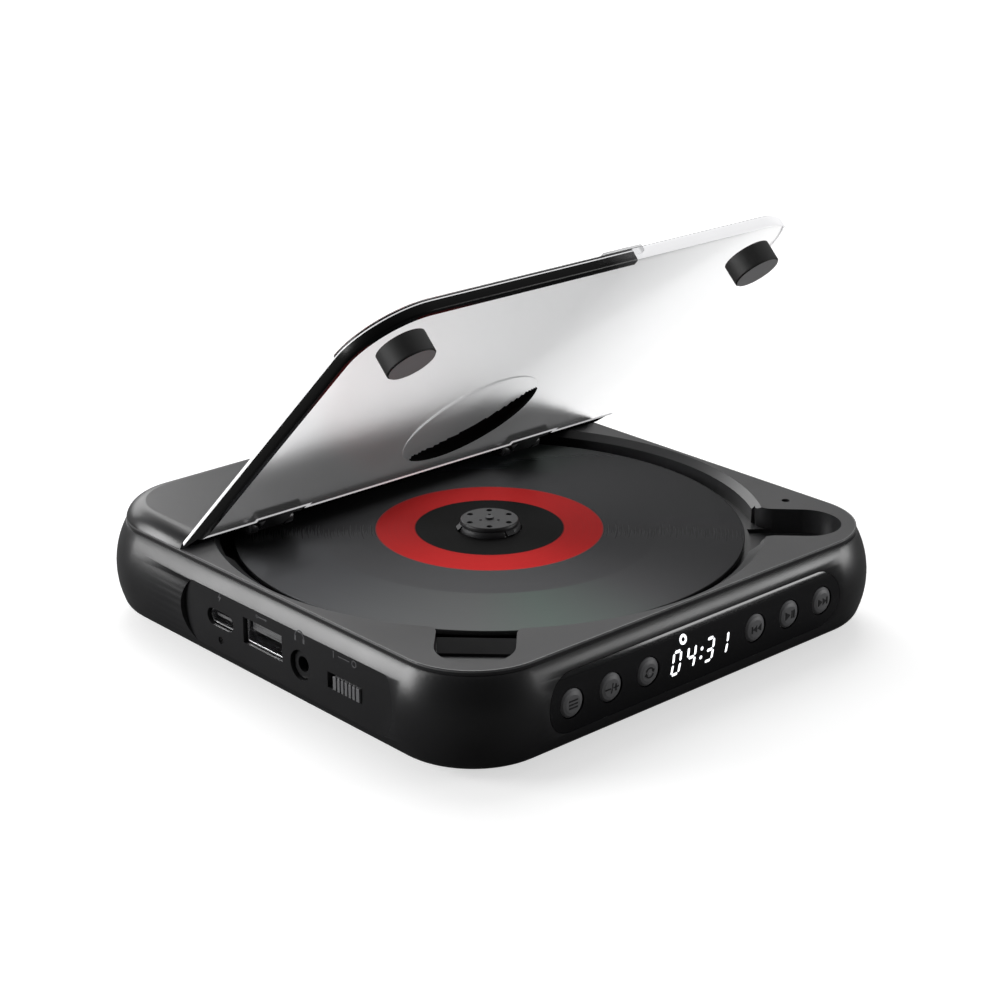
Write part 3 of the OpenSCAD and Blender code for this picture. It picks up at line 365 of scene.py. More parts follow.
# Greys of the lid and of its side faces, by X in millimetres: both are painted shade, the lid darkest
# a little right of its middle, the side faces black on the left
LID_SHADE_GREYS = [
    (-66.0, (0.72, 0.72, 0.725)),
    (5.0, (0.52, 0.522, 0.525)),
    (45.0, (0.76, 0.762, 0.765)),
    (66.0, (0.82, 0.82, 0.82)),
]
EDGE_SHADE_GREYS = [(0.0, (0.003, 0.003, 0.003)), (20.0, (0.3, 0.3, 0.305))]


def along_x(tree, stops):
    """Colour ramp over X, with stops in millimetres."""
    first = stops[0][0]
    last = stops[-1][0]
    place = add_node(tree, "ShaderNodeTexCoord")
    split = add_node(tree, "ShaderNodeSeparateXYZ")
    share = add_node(tree, "ShaderNodeMapRange")
    share.inputs["From Min"].default_value = first * MM
    share.inputs["From Max"].default_value = last * MM
    link(tree, place.outputs["Object"], split.inputs["Vector"])
    link(tree, split.outputs["X"], share.inputs["Value"])
    return ramp(tree, share.outputs["Result"],
                [((x - first) / (last - first), colour) for x, colour in stops])


def lid_shaded_material():
    """Clear lid with painted shade: greyest a little right of its middle and palest at its right side.
    """
    made = clear("lid_clear", (0.8, 0.8, 0.8), 0.3, 1.03)
    tree = made.node_tree
    link(tree, along_x(tree, LID_SHADE_GREYS), tree.nodes["Principled BSDF"].inputs["Base Color"])
    return made


def side_shade_material():
    """Side faces of the lid, painted shade: black on the left half, then greyer towards the right."""
    made = new_material("lid_side_shade")
    tree = made.node_tree
    shader = tree.nodes["Principled BSDF"]
    shader.inputs["Roughness"].default_value = 0.25
    shader.inputs["Specular IOR Level"].default_value = 0.2
    link(tree, along_x(tree, EDGE_SHADE_GREYS), shader.inputs["Base Color"])
    return made


materials = {
    "black_shell": moulded("black_shell", (0.012, 0.012, 0.013), 0.32),
    "base_plastic": moulded("base_plastic", (0.014, 0.014, 0.015), 0.55, depth=0.00003),
    "deck_plastic": moulded("deck_plastic", (0.016, 0.016, 0.017), 0.32),
    "rubber": moulded("rubber", (0.007, 0.007, 0.007), 0.6, grain=5000.0, depth=0.00003),
    "screw_steel": moulded("screw_steel", (0.5, 0.5, 0.52), 0.35, metallic=1.0),
    "bright_steel": moulded("bright_steel", (0.7, 0.7, 0.72), 0.14, metallic=1.0, depth=0.000002),
    "socket_metal": brushed("socket_metal", (0.62, 0.62, 0.63), 0.28),
    "sheet_steel": brushed("sheet_steel", (0.55, 0.56, 0.58), 0.35),
    "window_gloss": moulded("window_gloss", (0.004, 0.004, 0.005), 0.08, depth=0.000001),
    "display_grey": moulded("display_grey", (0.035, 0.035, 0.04), 0.5),
    "digit_white": glowing("digit_white", (0.95, 0.97, 1.0), 1.6),
    "board_green": moulded("board_green", (0.02, 0.14, 0.06), 0.35, grain=3000.0, depth=0.00003),
    "dark_plastic": moulded("dark_plastic", (0.012, 0.012, 0.013), 0.45, specular=0.3),
    "dark_steel": moulded("dark_steel", (0.06, 0.06, 0.062), 0.4, metallic=1.0),
    "pale_plastic": moulded("pale_plastic", (0.7, 0.7, 0.66), 0.4),
    "pickup_metal": moulded("pickup_metal", (0.22, 0.22, 0.24), 0.45, metallic=1.0, depth=0.00004),
    "battery_wrap": moulded("battery_wrap", (0.1, 0.12, 0.16), 0.3, depth=0.00002),
    # Clear lid: its grey along X is painted shade
    "lid_clear": lid_shaded_material(),
    # Side faces of the lid on the left and the front lip's rounding: painted shade
    "lid_side_shade": side_shade_material(),
    # Painted shade: a black band on the dish's wall, the tail and the rounding under the rear edge
    "lid_painted_shade": moulded("lid_painted_shade", (0.004, 0.004, 0.004), 0.6, specular=0.0),
    # Painted highlight: glowing lines along the lid's rear underside and its left side
    "lid_painted_highlight": glowing("lid_painted_highlight", (0.8, 0.8, 0.81), 0.5),
    # Painted light: the lid's right side faces, pale and glowing
    "lid_painted_light": glowing("lid_painted_light", (0.72, 0.72, 0.73), 0.7),
    "bumper_end": moulded("bumper_end", (0.45, 0.45, 0.46), 0.5, grain=5000.0, depth=0.00002),
    # Painted highlight on the rims along the deck's seam
    "painted_rim_highlight": moulded("painted_rim_highlight", (0.11, 0.11, 0.112), 0.3),
    "lens_glass": clear("lens_glass", (0.75, 0.8, 0.95), 0.02, 1.52),
    "light_red": clear("light_red", (0.75, 0.1, 0.06), 0.1),
    "disc_silver": disc_material(),
    "button_grey": moulded("button_grey", (0.15, 0.15, 0.155), 0.45),
    "mark_dark": moulded("mark_dark", (0.006, 0.006, 0.007), 0.5),
    "mark_pale": moulded("mark_pale", (0.09, 0.09, 0.095), 0.5),
}


# Pieces

# Segments of a rounded corner, of a small rounding and of the two lathed forms
CORNER_STEPS = 24
ROUND_STEPS = 3
DISC_STEPS = 256
DISH_STEPS = 128
# Bevels: gap that is welded in millimetres, and the angle in degrees above which an edge is rounded
WELD_GAP = 0.01
BEVEL_ANGLE = 40.0
# Width of the bevel in millimetres, with the nodes that get it
SOFTENED = {
    0.18: ("rear_cover", "base_cover", "main_housing"),
    0.08: ("hinge_arms", "turntable", "hub_cap", "power_switch_knob", "usb_a_socket"),
}


def add_piece(name, mesh, body, material=None):
    piece = bpy.data.objects.new(name, mesh)
    bpy.context.scene.collection.objects.link(piece)
    if material is not None:
        mesh.materials.clear()
        mesh.materials.append(material)
    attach(piece, body)
    return piece


def smooth(mesh, angle=30.0):
    mesh.polygons.foreach_set("use_smooth", [True] * len(mesh.polygons))
    mesh.set_sharp_from_angle(angle=math.radians(angle))


def soften(node, width):
    """Rounds a node's hard edges a little, with its shape and place kept."""
    weld = node.modifiers.new("weld", "WELD")
    weld.merge_threshold = WELD_GAP * MM
    bevel = node.modifiers.new("edges", "BEVEL")
    bevel.width = width * MM
    bevel.segments = 2
    bevel.limit_method = "ANGLE"
    bevel.angle_limit = math.radians(BEVEL_ANGLE)
    bevel.harden_normals = True


def lathe(name, profile, steps):
    """Closed solid of revolution about Z from (radius, height) points in millimetres."""
    mesh = bpy.data.meshes.new(name)
    form = bmesh.new()
    rings = []
    for i in range(steps):
        turn = 2 * math.pi * i / steps
        rings.append([
            form.verts.new((r * math.cos(turn) * MM, r * math.sin(turn) * MM, z * MM))
            for r, z in profile
        ])
    for i in range(steps):
        ring = rings[i]
        after = rings[(i + 1) % steps]
        for j in range(len(profile)):
            k = (j + 1) % len(profile)
            form.faces.new((ring[j], after[j], after[k], ring[k]))
    bmesh.ops.recalc_face_normals(form, faces=form.faces)
    form.to_mesh(mesh)
    form.free()
    smooth(mesh)
    return mesh


def arc(centre, radius, start, end, steps):
    """Points along an arc, with angles in degrees."""
    turns = [math.radians(start + (end - start) * i / steps) for i in range(steps + 1)]
    return [(centre[0] + radius * math.cos(t), centre[1] + radius * math.sin(t)) for t in turns]


def disc_piece():
    low, high = node_box("disc")
    rim = DISC_RIM
    profile = (
        [(HOLE_R + rim, low.z), (DISC_R - rim, low.z)]
        + arc((DISC_R - rim, low.z + rim), rim, -90, 0, ROUND_STEPS)[1:]
        + arc((DISC_R - rim, high.z - rim), rim, 0, 90, ROUND_STEPS)
        + [(HOLE_R + rim, high.z), (HOLE_R, high.z - rim), (HOLE_R, low.z + rim)]
    )
    mesh = lathe("printed_disc", profile, DISC_STEPS)
    piece = add_piece("printed_disc", mesh, "spindle", materials["disc_silver"])
    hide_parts("disc")


# The lid in millimetres: rounding of its edges, width of the strip along its underside's edge
# that carries a painted highlight, depth of the painted highlight strip's two sides below the top,
# radius of its front corners, how far its tab stands out, and its tail's thickness
LID_EDGE = 0.6
LID_HIGHLIGHT_WIDTH = 1.1
LID_HIGHLIGHT_STRIP = (0.95, 0.7)
LID_CORNER = 16.0
LID_TAB_OUT = 1.2
LID_TAIL_T = 1.5
# Its arms: their width, and how far the tail's foot lies behind their front
ARM_W = 12.6
ARM_IN = 1.2
# Its side faces have painted light, pale and glowing, to the right of this X
EDGE_CLEAR_X = 8.0
# Its dish: radius, depth, width of the curved wall, middle, and the cutter's start below the lid
DISH_R = 18.0
DISH_DEPTH = 2.0
DISH_SLOPE = 5.5
DISH_Y = -1.5
DISH_WALL_STEPS = 12
CUTTER_OUT = 1.0
AXIS_GAP = 0.001
# Its finger tab: middle, width, depth of its faces below the lid's top, overlap and rounding
TAB_X = 4.3
TAB_W = 11.6
TAB_TOP = 0.1
TAB_UNDER = 2.0
TAB_LAP = 0.2
TAB_EDGE = 0.35


def lid_outline(half, front, rear, notch_y, hinge_x):
    """Outline of the lid with its rounded front corners and the two notches for its arms."""
    outline = arc((-half + LID_CORNER, front + LID_CORNER), LID_CORNER, 180, 270, CORNER_STEPS)
    outline.append((EDGE_CLEAR_X, front))
    outline += arc((half - LID_CORNER, front + LID_CORNER), LID_CORNER, 270, 360, CORNER_STEPS)
    outline.append((half, rear))
    for x in reversed(hinge_x):
        outline += [
            (x + ARM_W / 2, rear), (x + ARM_W / 2, notch_y),
            (x - ARM_W / 2, notch_y), (x - ARM_W / 2, rear),
        ]
    outline.append((-half, rear))
    return outline


def rounded_lid():
    """Clear lid with softened edges, a sloped tail, notches for its arms and a dish underneath."""
    low, high = closed_box("clear_lid")
    arm_low, arm_high = closed_box("hinge_arms")
    half = high.x
    front = low.y + LID_TAB_OUT
    notch_y = arm_low.y
    rear_low = notch_y + ARM_IN
    tail_z = high.z - LID_TAIL_T
    hinge_x = (arm_low.x + ARM_W / 2, arm_high.x - ARM_W / 2)
    rings = []
    slope_z = low.z + LID_EDGE
    strip = [high.z - depth for depth in LID_HIGHLIGHT_STRIP]
    levels = rounded_levels(low.z, high.z, LID_EDGE, [tail_z] + strip)
    for inset, z in [(LID_EDGE + LID_HIGHLIGHT_WIDTH, low.z)] + levels:
        rise = min(1.0, max(0.0, (z - slope_z) / (tail_z - slope_z)))
        rear = rear_low + (high.y - rear_low) * rise
        rings.append((shrink(lid_outline(half, front, rear, notch_y, hinge_x), inset), z))
    body = bpy.data.objects.new("lid_plate", stacked("lid_plate", rings))
    bpy.context.scene.collection.objects.link(body)
    dish = lathe("dish_cutter", dish_profile(low.z), DISH_STEPS)
    dish.transform(Matrix.Translation((0, DISH_Y * MM, 0)))
    cutter = bpy.data.objects.new("dish_cutter", dish)
    bpy.context.scene.collection.objects.link(cutter)
    cut = body.modifiers.new("dish", "BOOLEAN")
    cut.operation = "DIFFERENCE"
    cut.solver = "EXACT"
    cut.object = cutter
    made = bpy.data.meshes.new_from_object(body.evaluated_get(bpy.context.evaluated_depsgraph_get()))
    for spare in (body, cutter):
        bpy.data.objects.remove(spare)
    smooth(made, 35)
    made.materials.clear()
    for name in ("lid_clear", "lid_side_shade", "lid_painted_shade", "lid_painted_highlight", "lid_painted_light"):
        made.materials.append(materials[name])
    paint_lid(made, half, front, rear_low, low.z, high.z)
    made.transform(LID_POSE)
    piece = add_piece("lid_panel", made, "lid")
    piece.visible_shadow = False
    piece.visible_glossy = False
    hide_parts("clear_lid")
    add_tab(front, low.y, high.z)


def add_tab(front, tip, top):
    """Finger tab at the front of the lid."""
    left = TAB_X - TAB_W / 2
    right = TAB_X + TAB_W / 2
    outline = box_shape(left, tip, right, front + TAB_LAP)
    tab = plate("lid_tab", outline, top - TAB_UNDER, top - TAB_TOP, TAB_EDGE)
    tab.transform(LID_POSE)
    smooth(tab)
    add_piece("lid_tab", tab, "lid", materials["lid_clear"])


def dish_profile(z):
    """Cross-section of the dish's cutter, with a broad curved wall."""
    wall = []
    for i in range(DISH_WALL_STEPS + 1):
        t = math.pi / 2 * i / DISH_WALL_STEPS
        wall.append((DISH_R - DISH_SLOPE * (1 - math.cos(t)), z + DISH_DEPTH * math.sin(t)))
    start = [(AXIS_GAP, z - CUTTER_OUT), (DISH_R, z - CUTTER_OUT)]
    return start + wall + [(AXIS_GAP, z + DISH_DEPTH)]


# Faces of the closed lid are told apart by the Z of their normal, by their number of corners and
# by place, with margins in millimetres
STEEP = 0.45
FRONT_LIP = (0.3, 0.8)
QUAD = 4
HAIR = 0.01
TAIL_MARGIN = 0.1
DISH_MARGIN = 0.5
# The dish's band of painted shade starts at this angle and spans this many degrees
DISH_SHADE_START = -25.0
DISH_SHADE_SPAN = 150.0


def shade_band_width(x, y):
    """Width in millimetres of the dish's band of painted shade, at the angle of a point."""
    share = (math.degrees(math.atan2(y - DISH_Y, x)) - DISH_SHADE_START) / DISH_SHADE_SPAN
    if not 0 < share < 1:
        return 0.0
    return DISH_SLOPE * math.sin(math.pi * share)


def paint_lid(mesh, half, front, rear_low, bottom, top):
    """Gives the side faces, the dish's wall and the tail of the closed lid their own materials:
    painted shade on the left side faces, a band of the dish's wall and the tail, painted highlight
    lines along the rear underside and the left side, and painted light on the right side faces.
    """
    clear_face, shaded_edge_face, painted_shade_face, painted_highlight_face, painted_light_face = range(5)
    tail = rear_low - ARM_IN
    corner = front + LID_CORNER
    strip_low, strip_high = (top - depth for depth in LID_HIGHLIGHT_STRIP)
    for face in mesh.polygons:
        normal = face.normal
        x, y, z = face.center / MM
        left = x < EDGE_CLEAR_X
        right = x > EDGE_CLEAR_X
        steep = abs(normal.z) < STEEP
        under = normal.z < -STEEP
        small = len(face.vertices) <= QUAD
        face.material_index = clear_face
        away = math.hypot(x, y - DISH_Y)
        # Painted shade on a band of the dish's wall and on the tail
        if away < DISH_R + DISH_MARGIN:
            if away > DISH_R - shade_band_width(x, y) and z > bottom + HAIR:
                face.material_index = painted_shade_face
        elif steep and y > tail - TAIL_MARGIN and abs(x) < half - LID_EDGE:
            face.material_index = painted_shade_face
        # Painted highlight lines along the rear of the underside and the left side
        elif y > tail - LID_EDGE - LID_HIGHLIGHT_WIDTH and under and small:
            face.material_index = painted_highlight_face if z < bottom + HAIR else painted_shade_face
        elif x < -half + LID_EDGE and not under and z > strip_low and y > corner:
            face.material_index = painted_highlight_face
        elif left and strip_low < z < strip_high and steep and y < 0:
            face.material_index = painted_highlight_face
        # Painted shade on the left side faces and small under faces, and on the front lip's rounding
        # on the right
        elif left and (steep or (under and small)):
            face.material_index = shaded_edge_face
        # Painted light on the right side faces
        elif right and steep and small:
            face.material_index = painted_light_face
        elif right and FRONT_LIP[0] < normal.z < FRONT_LIP[1] and small and y < corner:
            face.material_index = shaded_edge_face


def rounded_levels(z0, z1, edge, between_z=()):
    """Inset and height of each ring of a plate with rounded edges."""
    turns = [math.pi / 2 * i / ROUND_STEPS for i in range(ROUND_STEPS + 1)]
    levels = [(edge * (1 - math.sin(t)), z0 + edge * (1 - math.cos(t))) for t in turns]
    levels += [(0.0, z) for z in between_z]
    levels += [(edge * (1 - math.cos(t)), z1 - edge * (1 - math.sin(t))) for t in turns]
    return levels


def plate(name, outline, z0, z1, edge):
    """Flat plate with rounded edges: outline in millimetres, counter-clockwise seen from above."""
    levels = rounded_levels(z0, z1, edge)
    return stacked(name, [(shrink(outline, inset), z) for inset, z in levels])


def stacked(name, rings):
    """Closed solid through outlines with equal numbers of points, each at its height."""
    form = bmesh.new()
    loops = [[form.verts.new((x * MM, y * MM, z * MM)) for x, y in outline] for outline, z in rings]
    count = len(loops[0])
    for lower, upper in zip(loops, loops[1:]):
        for i in range(count):
            j = (i + 1) % count
            form.faces.new((lower[i], lower[j], upper[j], upper[i]))
    form.faces.new(list(reversed(loops[0])))
    form.faces.new(loops[-1])
    bmesh.ops.recalc_face_normals(form, faces=form.faces)
    mesh = bpy.data.meshes.new(name)
    form.to_mesh(mesh)
    form.free()
    return mesh


# Limits that keep a corner's step inwards finite where its sides fold back
SMALLEST_SUM = 1e-6
SMALLEST_LEAN = 0.3


def shrink(outline, inset):
    """Moves each corner of an outline inwards so that its sides move in by inset."""
    moved = []
    count = len(outline)
    for i in range(count):
        before = Vector(outline[i - 1])
        here = Vector(outline[i])
        after = Vector(outline[(i + 1) % count])
        first = (here - before).normalized()
        second = (after - here).normalized()
        normal = Vector((-first.y - second.y, first.x + second.x))
        if normal.length < SMALLEST_SUM:
            normal = Vector((-first.y, first.x))
        normal.normalize()
        lean = max(SMALLEST_LEAN, normal.dot(Vector((-first.y, first.x))))
        moved.append(here + normal * (inset / lean))
    return moved


# Printed marks, as thin raised shapes

RING_STEPS = 20
# Thickness of the marks in millimetres, and how far they are set in
BUTTON_MARK_T = 0.16
BUTTON_MARK_IN = 0.14
PANEL_MARK_T = 0.06
PANEL_MARK_IN = 0.02
# X of the flat socket panel and Z of its marks
PANEL_X = -67.8
PANEL_MARK_Z = 18.6


def mark_mesh(name, shapes, thickness):
    """Thin raised shapes from outlines in millimetres, in X and Y, rising along Z."""
    form = bmesh.new()
    for shape in shapes:
        low = [form.verts.new((x * MM, y * MM, 0)) for x, y in shape]
        high = [form.verts.new((x * MM, y * MM, thickness * MM)) for x, y in shape]
        form.faces.new(list(reversed(low)))
        form.faces.new(high)
        for i in range(len(shape)):
            j = (i + 1) % len(shape)
            form.faces.new((low[i], low[j], high[j], high[i]))
    bmesh.ops.recalc_face_normals(form, faces=form.faces)
    mesh = bpy.data.meshes.new(name)
    form.to_mesh(mesh)
    form.free()
    return mesh


def box_shape(x0, y0, x1, y1):
    return [(x0, y0), (x1, y0), (x1, y1), (x0, y1)]


def triangle(x0, x1, half):
    return [(x0, -half), (x1, 0), (x0, half)]


def ring_shape(radius, width, start, end, centre=(0, 0)):
    outer = arc(centre, radius + width / 2, start, end, RING_STEPS)
    inner = arc(centre, radius - width / 2, end, start, RING_STEPS)
    return outer + inner


def menu_mark():
    return [box_shape(-1.2, y - 0.18, 1.2, y + 0.18) for y in (-0.8, 0.0, 0.8)]


def volume_mark():
    return [
        box_shape(-1.9, -0.16, -0.4, 0.16),
        box_shape(0.3, -0.16, 1.9, 0.16),
        box_shape(0.94, -0.8, 1.26, -0.16),
        box_shape(0.94, 0.16, 1.26, 0.8),
        [(-0.35, -1.1), (-0.1, -1.1), (0.35, 1.1), (0.1, 1.1)],
    ]


def repeat_mark():
    return [
        ring_shape(1.1, 0.32, 20, 160),
        ring_shape(1.1, 0.32, 200, 340),
        [(0.62, 0.55), (1.5, 0.55), (1.05, -0.15)],
        [(-0.62, -0.55), (-1.5, -0.55), (-1.05, 0.15)],
    ]


def skip_mark(way):
    """Two triangles and a bar: way is 1 for forwards and -1 for back."""
    bar = sorted((1.25 * way, 1.55 * way))
    return [
        triangle(-1.5 * way, -0.2 * way, 0.85),
        triangle(-0.1 * way, 1.2 * way, 0.85),
        box_shape(bar[0], -0.85, bar[1], 0.85),
    ]


def play_mark():
    return [
        triangle(-1.5, 0.1, 0.95),
        box_shape(0.35, -0.95, 0.75, 0.95),
        box_shape(1.05, -0.95, 1.45, 0.95),
    ]


BUTTON_MARKS = {
    "menu_button": menu_mark(),
    "volume_button": volume_mark(),
    "repeat_button": repeat_mark(),
    "previous_button": skip_mark(-1),
    "play_button": play_mark(),
    "next_button": skip_mark(1),
}
# Turns a mark's plan to face -Y, upright
FACE_FRONT = Matrix.Rotation(math.pi / 2, 4, "X")
# Turns a mark's plan to face -X, upright
FACE_LEFT = Matrix.Rotation(-math.pi / 2, 4, "Z") @ FACE_FRONT


# Rims along the deck's seam, as (inset, height) points in millimetres: the deck's from its top
# face, and the housing's from the seam; their lighter grey is a painted highlight
SEAM_DEPTH = 1.2
DECK_CORNER = 18.0
DECK_RIM = [(-0.02, -0.45), (-0.02, -0.15), (0.06, -0.02), (0.2, 0.02), (0.34, 0.02), (0.34, -0.45)]
CASE_RIM = [(-0.2, -0.4), (-0.14, -0.2), (-0.02, -0.08), (0.2, -0.06), (0.2, -0.4)]
RIM_SMOOTH = 50.0


def band(name, outline, profile):
    """Thin bead along an outline, from (inset, height) points of its cross-section."""
    form = bmesh.new()
    loops = [
        [form.verts.new((x * MM, y * MM, z * MM)) for x, y in shrink(outline, inset)]
        for inset, z in profile
    ]
    count = len(outline)
    for k, lower in enumerate(loops):
        upper = loops[(k + 1) % len(loops)]
        for i in range(count):
            j = (i + 1) % count
            form.faces.new((lower[i], lower[j], upper[j], upper[i]))
    bmesh.ops.recalc_face_normals(form, faces=form.faces)
    mesh = bpy.data.meshes.new(name)
    form.to_mesh(mesh)
    form.free()
    smooth(mesh, RIM_SMOOTH)
    return mesh


def round_square(half, radius):
    """Outline of a square with rounded corners."""
    outline = []
    for turn, x, y in ((0, 1, 1), (90, -1, 1), (180, -1, -1), (270, 1, -1)):
        centre = (x * (half - radius), y * (half - radius))
        outline += arc(centre, radius, turn, turn + 90, CORNER_STEPS)
    return outline


def add_rims():
    """Softened rims of the deck and of the housing, on both sides of their seam, in the lighter grey
    of a painted highlight.
    """
    corner = node_box("top_deck")[1]
    outline = round_square(corner.x, DECK_CORNER)
    rims = (
        ("deck_rim", DECK_RIM, corner.z, "deck_plastic"),
        ("case_rim", CASE_RIM, corner.z - SEAM_DEPTH, "black_shell"),
    )
    for name, profile, base, slot in rims:
        placed = [(inset, base + height) for inset, height in profile]
        add_piece(name, band(name, outline, placed), "case", materials["painted_rim_highlight"])


def add_button_marks():
    for name, shapes in BUTTON_MARKS.items():
        low, high = node_box(name)
        mesh = mark_mesh(name + "_mark", shapes, BUTTON_MARK_T)
        middle = (low + high) / 2
        place = Vector((middle.x, low.y + BUTTON_MARK_IN, middle.z)) * MM
        mesh.transform(Matrix.Translation(place) @ FACE_FRONT)
        add_piece(name + "_mark", mesh, name + "_cap", materials["mark_dark"])


def headphone_mark():
    return [
        ring_shape(1.5, 0.25, 0, 180),
        box_shape(-1.75, -1.1, -1.15, 0.1),
        box_shape(1.15, -1.1, 1.75, 0.1),
    ]


def bolt_mark():
    return [[(-0.2, -1.1), (0.7, 0.2), (0.1, 0.2), (0.3, 1.1), (-0.6, -0.15), (0.0, -0.15)]]


def stick_mark():
    return [
        box_shape(-1.6, -0.12, 1.3, 0.12),
        triangle(1.3, 1.9, 0.35),
        ring_shape(0.3, 0.2, 0, 359, (-1.7, 0)),
    ]


def power_marks():
    """Bar and ring for on and off, at the slot's two ends."""
    return [
        box_shape(-3.6, -0.8, -3.3, 0.8),
        ring_shape(0.7, 0.28, 0, 359, (3.4, 0)),
        box_shape(-1.9, -0.1, 1.9, 0.1),
    ]


def add_socket_marks():
    """Faint raised marks above the sockets, on the flat panel."""
    sockets = {
        "charge_mark": (node_box("usb_c_socket"), bolt_mark()),
        "stick_mark": (node_box("usb_a_socket"), stick_mark()),
        "headphone_mark": (node_box("headphone_socket"), headphone_mark()),
        "power_mark": (node_box("power_switch_case"), power_marks()),
    }
    for name, ((low, high), shapes) in sockets.items():
        mesh = mark_mesh(name, shapes, PANEL_MARK_T)
        place = Vector((PANEL_X + PANEL_MARK_IN, (low.y + high.y) / 2, PANEL_MARK_Z)) * MM
        mesh.transform(Matrix.Translation(place) @ FACE_LEFT)
        add_piece(name, mesh, "case", materials["mark_pale"])


# Least cosine between the lid's downward direction and the normals of a bumper's end
FACING = 0.95


def dress_nodes():
    """Gives each node its slot's material; the shaft and the bumpers' ends have their own."""
    slot_of = {part["node"]: part["material_slot"] for part in frame["record"]["subparts"]}
    for name, node in nodes.items():
        node.data.materials.clear()
        node.data.materials.append(materials[slot_of[name]])
    nodes["spindle_shaft"].data.materials[0] = materials["dark_steel"]
    down = LID_POSE.to_3x3() @ Vector((0, 0, -1))
    for name in ("lid_bumper_left", "lid_bumper_right"):
        mesh = nodes[name].data
        mesh.materials.append(materials["bumper_end"])
        for face in mesh.polygons:
            face.material_index = int(face.normal.dot(down) > FACING)


def soften_nodes():
    for width, names in SOFTENED.items():
        for name in names:
            soften(nodes[name], width)


# Setting

# Point that the lamps are aimed at, then each lamp's place, size and power
MIDDLE = Vector((0, 0, 0.02))
LAMPS = {
    "sky": ((0.4, 0.5, 0.95), (0.8, 0.8), 7.0),
    "back": ((0.25, 1.6, 0.62), (1.2, 0.7), 7.0),
    "left": ((-0.8, 0.6, 0.28), (0.5, 0.5), 9.0),
    "front": ((0.75, -0.65, 0.2), (0.4, 0.3), 3.0),
}
# The floor: half its width, how far it lies below the feet, its two greys and its glow
FLOOR_HALF = 4.0
FLOOR_DROP = 0.0002
PAPER_GREY = (0.6, 0.6, 0.6, 1.0)
DIM_GREY = (0.15, 0.15, 0.15, 1.0)
FLOOR_GLOW = 0.6
# The studio: the direction behind the player, and its greys from the opposite side to that one
BEHIND = (0.6, 0.55, 0.58)
STUDIO_GREYS = [
    (0.0, (0.05, 0.05, 0.05)),
    (0.4, (0.12, 0.12, 0.12)),
    (0.6, (0.35, 0.35, 0.35)),
    (1.0, (0.6, 0.6, 0.6)),
]
STUDIO_STRENGTH = 0.7
# The photograph's camera: width of its picture and lens in millimetres, place, downward tilt and
# turn in degrees, and clipping
SENSOR = 36.0
LENS = 84.07
CAMERA_PLACE = (-0.34067, -0.37633, 0.22235)
CAMERA_TILT = 20.77
CAMERA_TURN = -42.3
CLIP = (0.01, 20.0)


def area_light(name, place, size, power):
    """Lamp aimed at the player, unseen by the camera and through the lid."""
    lamp = bpy.data.lights.new(name, "AREA")
    lamp.shape = "RECTANGLE"
    lamp.size = size[0]
    lamp.size_y = size[1]
    lamp.energy = power
    holder = bpy.data.objects.new(name, lamp)
    bpy.context.scene.collection.objects.link(holder)
    holder.visible_transmission = False
    holder.visible_camera = False
    holder.location = place
    holder.rotation_euler = (MIDDLE - Vector(place)).to_track_quat("-Z", "Y").to_euler()


def floor():
    """Floor that is white with a soft shadow to the camera and the lid, and dim to other rays."""
    mesh = bpy.data.meshes.new("floor")
    form = bmesh.new()
    bmesh.ops.create_grid(form, x_segments=1, y_segments=1, size=FLOOR_HALF)
    form.to_mesh(mesh)
    form.free()
    made = new_material("floor")
    tree = made.node_tree
    tree.nodes.remove(tree.nodes["Principled BSDF"])
    output = tree.nodes["Material Output"]
    paper = add_node(tree, "ShaderNodeBsdfDiffuse")
    paper.inputs["Color"].default_value = PAPER_GREY
    dim = add_node(tree, "ShaderNodeBsdfDiffuse")
    dim.inputs["Color"].default_value = DIM_GREY
    glow = add_node(tree, "ShaderNodeEmission")
    glow.inputs["Strength"].default_value = FLOOR_GLOW
    both = add_node(tree, "ShaderNodeAddShader")
    link(tree, paper.outputs["BSDF"], both.inputs[0])
    link(tree, glow.outputs["Emission"], both.inputs[1])
    pick = add_node(tree, "ShaderNodeMixShader")
    link(tree, seen_ray(tree), pick.inputs["Fac"])
    link(tree, dim.outputs["BSDF"], pick.inputs[1])
    link(tree, both.outputs["Shader"], pick.inputs[2])
    link(tree, pick.outputs["Shader"], output.inputs["Surface"])
    ground = bpy.data.objects.new("floor", mesh)
    ground.location.z = -FLOOR_DROP
    bpy.context.scene.collection.objects.link(ground)
    mesh.materials.append(made)


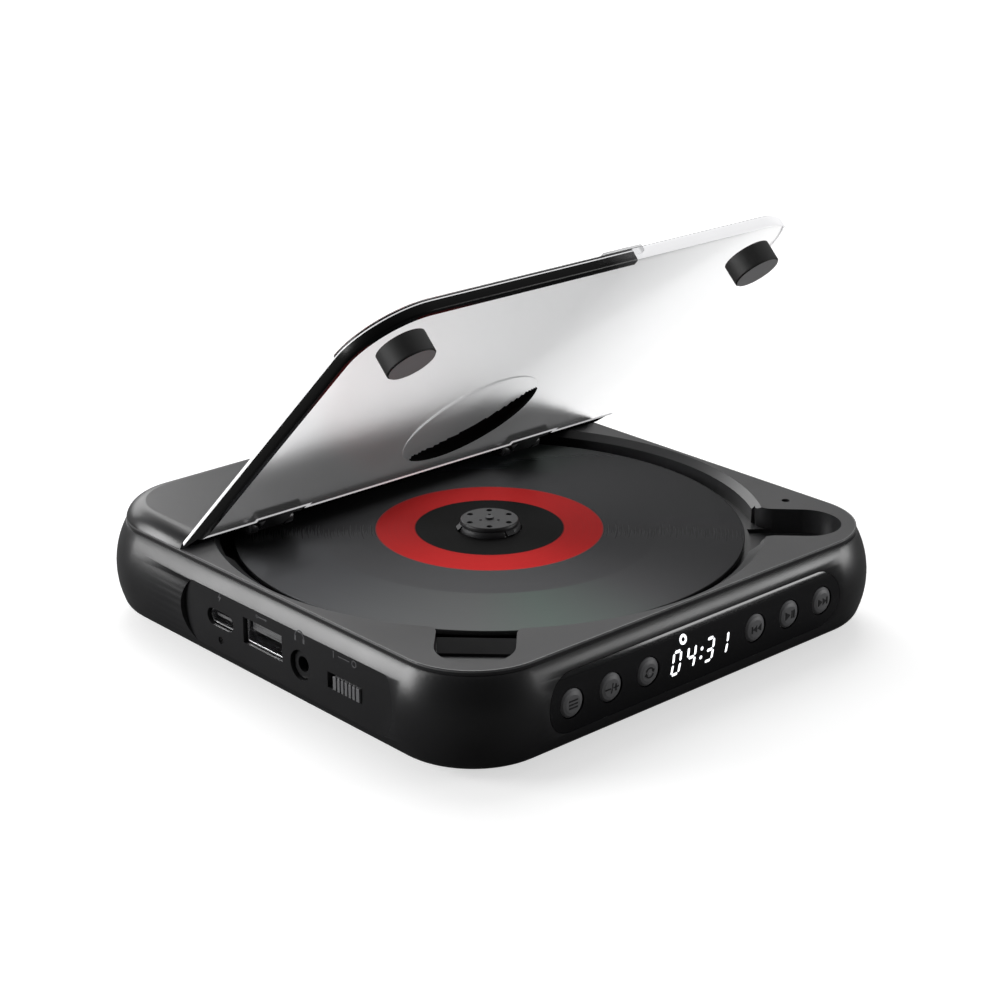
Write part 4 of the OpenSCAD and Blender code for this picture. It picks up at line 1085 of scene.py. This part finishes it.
def seen_ray(tree):
    """1 for rays from the camera or through the clear lid."""
    path = add_node(tree, "ShaderNodeLightPath")
    either = add_node(tree, "ShaderNodeMath", operation="MAXIMUM")
    link(tree, path.outputs["Is Camera Ray"], either.inputs[0])
    link(tree, path.outputs["Is Transmission Ray"], either.inputs[1])
    return either.outputs["Value"]


def world():
    """Studio that is dark on the camera's side and paler behind the player."""
    made = bpy.data.worlds.new("studio")
    bpy.context.scene.world = made
    made.use_nodes = True
    tree = made.node_tree
    room = tree.nodes["Background"]
    place = add_node(tree, "ShaderNodeTexCoord")
    facing = add_node(tree, "ShaderNodeVectorMath", operation="DOT_PRODUCT")
    facing.inputs[1].default_value = BEHIND
    link(tree, place.outputs["Generated"], facing.inputs[0])
    share = add_node(tree, "ShaderNodeMapRange")
    share.inputs["From Min"].default_value = -1.0
    link(tree, facing.outputs["Value"], share.inputs["Value"])
    link(tree, ramp(tree, share.outputs["Result"], STUDIO_GREYS), room.inputs["Color"])
    room.inputs["Strength"].default_value = STUDIO_STRENGTH
    white = add_node(tree, "ShaderNodeBackground")
    white.inputs["Color"].default_value = (1, 1, 1, 1)
    pick = add_node(tree, "ShaderNodeMixShader")
    link(tree, seen_ray(tree), pick.inputs["Fac"])
    link(tree, room.outputs["Background"], pick.inputs[1])
    link(tree, white.outputs["Background"], pick.inputs[2])
    link(tree, pick.outputs["Shader"], tree.nodes["World Output"].inputs["Surface"])


def camera():
    """Camera of the photograph: from the front left, looking down."""
    made = bpy.data.cameras.new("camera")
    made.sensor_width = SENSOR
    made.lens = LENS
    made.clip_start, made.clip_end = CLIP
    holder = bpy.data.objects.new("camera", made)
    bpy.context.scene.collection.objects.link(holder)
    holder.location = CAMERA_PLACE
    holder.rotation_euler = (math.radians(90 - CAMERA_TILT), 0, math.radians(CAMERA_TURN))
    bpy.context.scene.camera = holder


def lights():
    for name, values in LAMPS.items():
        area_light(name, *values)


dress_nodes()
soften_nodes()
disc_piece()
rounded_lid()
add_rims()
add_button_marks()
add_socket_marks()
floor()
world()
lights()
camera()
bpy.context.scene.view_settings.view_transform = "Standard"
